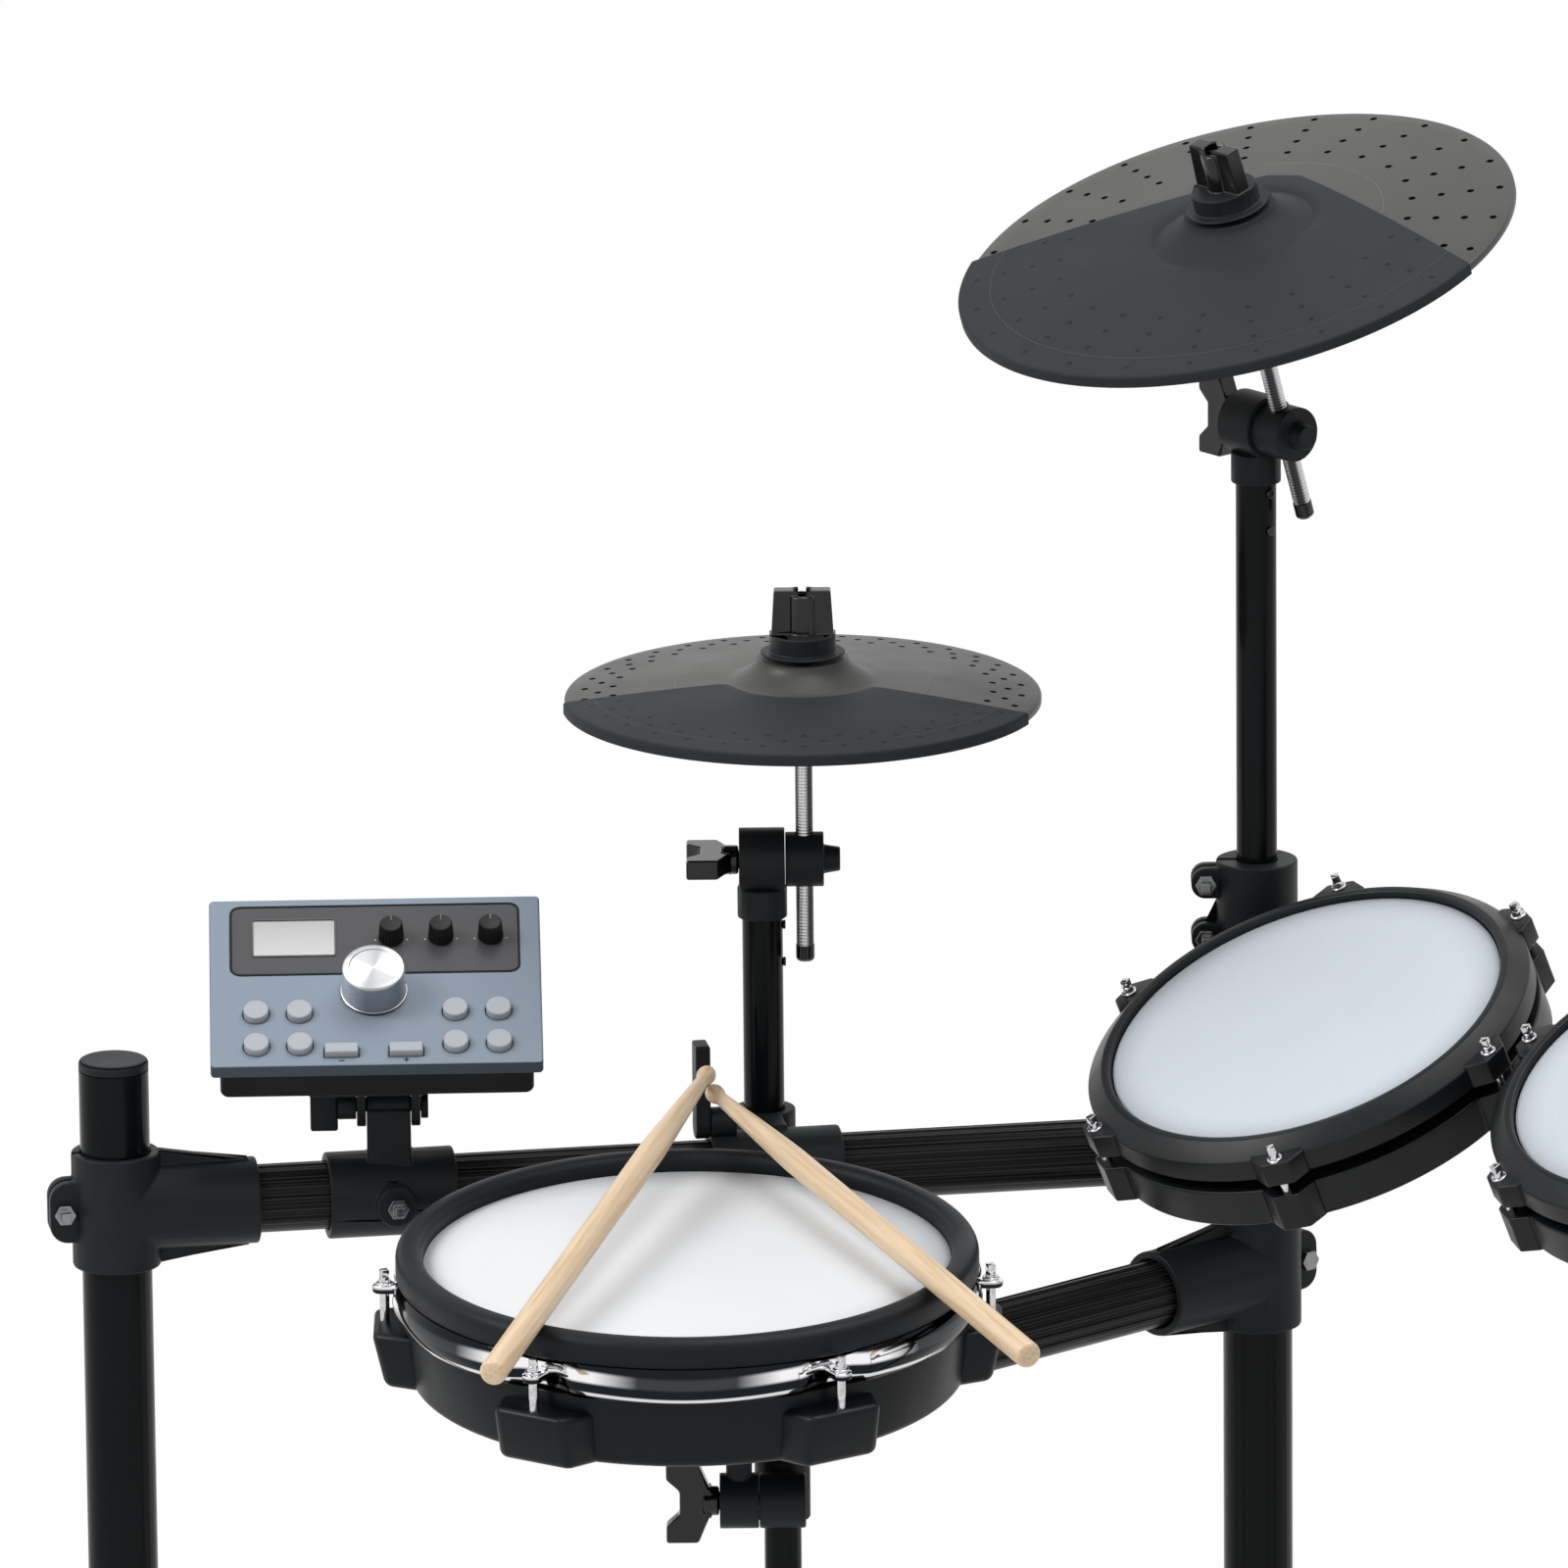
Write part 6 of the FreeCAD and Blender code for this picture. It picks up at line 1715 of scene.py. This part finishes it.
    def knob(self, name: str) -> None:
        """Make a fluted volume knob with a pointer line.

        Args:
            name: The knob's node.
        """
        place, body, radius, height = self.turning(name), self.shop.bodies[name], self.knob_radius, self.knob_height
        sides, gap = self.knob_flutes * 2, self.control_gap
        bm = round_bar(radius, radius - self.knob_draft, height - gap, sides)
        for vert in bm.verts:
            if round(math.atan2(vert.co.y, vert.co.x) / math.tau * sides) % 2:
                vert.co.xy *= self.flute_depth
        bevel(bm, [e for e in bm.edges if min(v.co.z for v in e.verts) > height * 0.9], self.knob_edge, 3)
        self.shop.piece(name + "_cap", bm, ["knob_black"], body, place.moved(z=gap), sharp=25, node=name)
        mark = thicken(plate(self.pointer_width, radius * 0.6, self.pointer_corner, 3), self.pointer_rise)
        line = self.shop.piece(name + "_pointer", mark, ["gloss_black"], body, place.moved(y=radius * 0.5, z=height))

    def marks(self) -> None:
        """Print the dots round the knobs and the plain signs under the bar buttons."""
        long, slim, rise, radius = self.sign_length, self.sign_width, self.print_rise, self.tick_radius
        dots = []
        for at in self.tick_spots:
            for turn in self.tick_turns:
                spot = self.face.moved(*at).spun(turn).moved(self.tick_reach, z=self.gap)
                dots.append((round_bar(radius, radius, rise, 10), spot))
        minus, plus = (self.face.moved(x, self.sign_row, self.gap) for x in self.sign_spots)
        signs = [(thicken(plate(long, slim, self.sign_corner, 2), rise), spot) for spot in (minus, plus)]
        signs.append((thicken(plate(slim, long, self.sign_corner, 2), rise * 1.2), plus))
        for name, marks, finish in (("knob_dots", dots, "print_white"), ("button_signs", signs, "knob_black")):
            piece = self.shop.piece(name, gathered(marks), [finish], "module")


@dataclass
class Drumsticks:
    """The pair of sticks."""

    shop: Workshop
    length: float = 0.4057
    radius: float = 0.0072
    butt_edge: float = 0.003
    butt_gap: float = 0.0003
    taper: float = 0.110
    neck: float = 0.0036
    bead: float = 0.0052
    bead_length: float = 0.013
    bead_crown: float = 0.45

    def build(self) -> None:
        """Make both sticks."""
        for side in ("left", "right"):
            self.stick(f"drumstick_{side}")

    def outline(self) -> list[Point]:
        """A stick's outline from its butt to its bead.

        Returns:
            Points as (radius, height).
        """
        shoulder, bead = self.length - self.taper, self.length - self.bead_length
        points = [(0, 0)] + rounded((self.radius - self.butt_edge, self.butt_edge), self.butt_edge, -88, 0, 7)
        for step in range(1, 9):
            points.append((self.radius, shoulder * step / 8 + self.butt_edge * (1 - step / 8)))
        for step in range(1, 11):
            share = step / 10
            points.append((self.radius + (self.neck - self.radius) * share ** 1.15,
                           shoulder + (bead - shoulder) * share))
        for step in range(1, 12):
            share = step / 12
            swell = self.neck + (self.bead - self.neck) * math.sin(math.pi * min(share * 1.1, 0.5))
            fall = max(0.0, share - self.bead_crown) / (1 - self.bead_crown)
            points.append((swell * math.sqrt(1 - fall ** 2), bead + self.bead_length * share))
        return points + [(0, self.length)]

    def stick(self, node: str) -> None:
        """Turn one stick from wood.

        Args:
            node: The node that it replaces.
        """
        back = self.shop.axis(node + "_draw")
        points = [vert.co for vert in self.shop.nodes[node].data.vertices]
        end = max(point.dot(back) for point in points)
        rim = [point for point in points if end - point.dot(back) < 1e-5]
        butt = sum(rim, Vector()) / len(rim)
        place = Place.of(butt - back * self.butt_gap, back.cross(UP).normalized(), -back)
        self.shop.piece(node + "_wood", lathe(self.outline(), 40), [TurnedWood(place).build()],
                        self.shop.bodies[node], place, sharp=60, node=node)


@dataclass
class Studio:
    """Floor, light and camera."""

    azimuth: float = 36.0
    elevation: float = 15.3
    distance: float = 9.63
    aim: Vector = Vector((-0.4887, 0.1065, 0.8478))
    roll: float = -0.0095
    lens: float = 405.0
    sensor: float = 36.0
    far: float = 200.0
    floor_size: float = 120.0
    floor_gap: float = 0.0004
    fill: float = 0.45
    lamp_aim: Vector = Vector((-0.2, 0, 0.7))

    def build(self) -> None:
        """Make the stage."""
        bpy.context.scene.view_settings.view_transform = "Standard"
        self.floor()
        self.light()
        self.camera()

    def floor(self) -> None:
        """Lay a plain pale floor that is clear from below."""
        bm = bmesh.new()
        bmesh.ops.create_grid(bm, x_segments=2, y_segments=2, size=self.floor_size / 2)
        bmesh.ops.translate(bm, vec=(0, 0, -self.floor_gap), verts=bm.verts)
        floor = shaped("floor", bm)
        graph = Paint("pale_floor")
        graph.set(Base_Color=(0.86, 0.86, 0.86, 1), Roughness=0.9)
        glow = graph.node("Emission", Color=(1, 1, 1, 1), Strength=1.0).outputs["Emission"]
        away, _, _ = graph.polar(graph.coordinates)
        lit = graph.math("MULTIPLY", graph.shown(), graph.ramp(away, 1.0, 2.4, 0.8, 1))
        below = graph.node("NewGeometry").outputs["Backfacing"]
        clear = graph.node("BsdfTransparent").outputs["BSDF"]
        surface = graph.shader.outputs["BSDF"]
        for share, other in ((lit, glow), (below, clear)):
            mix = graph.node("MixShader", Fac=share)
            graph.feed(mix.inputs[1], surface)
            graph.feed(mix.inputs[2], other)
            surface = mix.outputs["Shader"]
        graph.feed(graph.tree.nodes["Material Output"].inputs["Surface"], surface)
        floor.data.materials.append(graph.material)

    def light(self) -> None:
        """Set a pale surround and two soft lamps."""
        world = bpy.data.worlds.new("surround")
        bpy.context.scene.world = world
        world.use_nodes = True
        graph = Graph(world.node_tree)
        back = graph.tree.nodes["Background"].inputs
        graph.feed(back["Strength"], graph.ramp(graph.shown(), 0, 1, self.fill, 1))
        graph.feed(back["Color"], (1, 1, 1, 1))
        self.lamp("key", Vector((-2.6, -3.2, 4.2)), size=2.4, power=150)
        self.lamp("top", Vector((0.6, 0.8, 4.6)), size=3.2, power=105)

    def lamp(self, name: str, spot: Vector, size: float, power: float) -> None:
        """Args:
            name: The lamp's name.
            spot: Where it hangs.
            size: Its width.
            power: Its power in watts.
        """
        data = bpy.data.lights.new(name, "AREA")
        data.size = size
        data.energy = power
        lamp = bpy.data.objects.new(name, data)
        lamp.location = spot
        lamp.rotation_euler = (self.lamp_aim - spot).to_track_quat("-Z", "Y").to_euler()
        bpy.context.scene.collection.objects.link(lamp)

    def camera(self) -> None:
        """Stand the camera at the photograph's viewing angle."""
        data = bpy.data.cameras.new("camera")
        data.lens = self.lens
        data.sensor_width = self.sensor
        data.clip_end = self.far
        camera = bpy.data.objects.new("camera", data)
        turn, lift = math.radians(self.azimuth), math.radians(self.elevation)
        back = Vector((math.sin(turn) * math.cos(lift), -math.cos(turn) * math.cos(lift), math.sin(lift)))
        camera.location = self.aim + back * self.distance
        facing = (-back).to_track_quat("-Z", "Y").to_matrix()
        camera.rotation_euler = (facing @ Matrix.Rotation(self.roll, 3, "Z")).to_euler()
        bpy.context.scene.collection.objects.link(camera)
        bpy.context.scene.camera = camera


def main() -> None:
    logging.basicConfig(level=logging.INFO, format="%(message)s")
    shop = Workshop(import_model())
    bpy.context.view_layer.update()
    Rack(shop).build()
    wide = Rings(first=0.0896, last=0.1526, step=0.0158, count=25, phase=0.181)
    band = Rings(first=0.1, last=0.1235, step=0.0078, count=34, stagger=0.5)
    left = ((142.3, 0.0574), (80.3, 0.0585), (111.3, 0.0615))
    right = tuple((-angle, reach) for angle, reach in left)
    CymbalArm(shop, "hihat", 0.130, ((91.8, -0.0133), (72.9, -0.0109)), band, Bell.BARE, bell_radius=0.04).build()
    CymbalArm(shop, "crash", 0.153, left, wide, Bell.RUBBER).build()
    CymbalArm(shop, "ride", 0.153, right, wide, Bell.RUBBER).build()
    SnarePad(shop).build()
    for number in (1, 2, 3):
        TomPad(shop, number).build()
    SoundModule(shop).build()
    Drumsticks(shop).build()
    Studio().build()


if __name__ == "__main__":
    main()
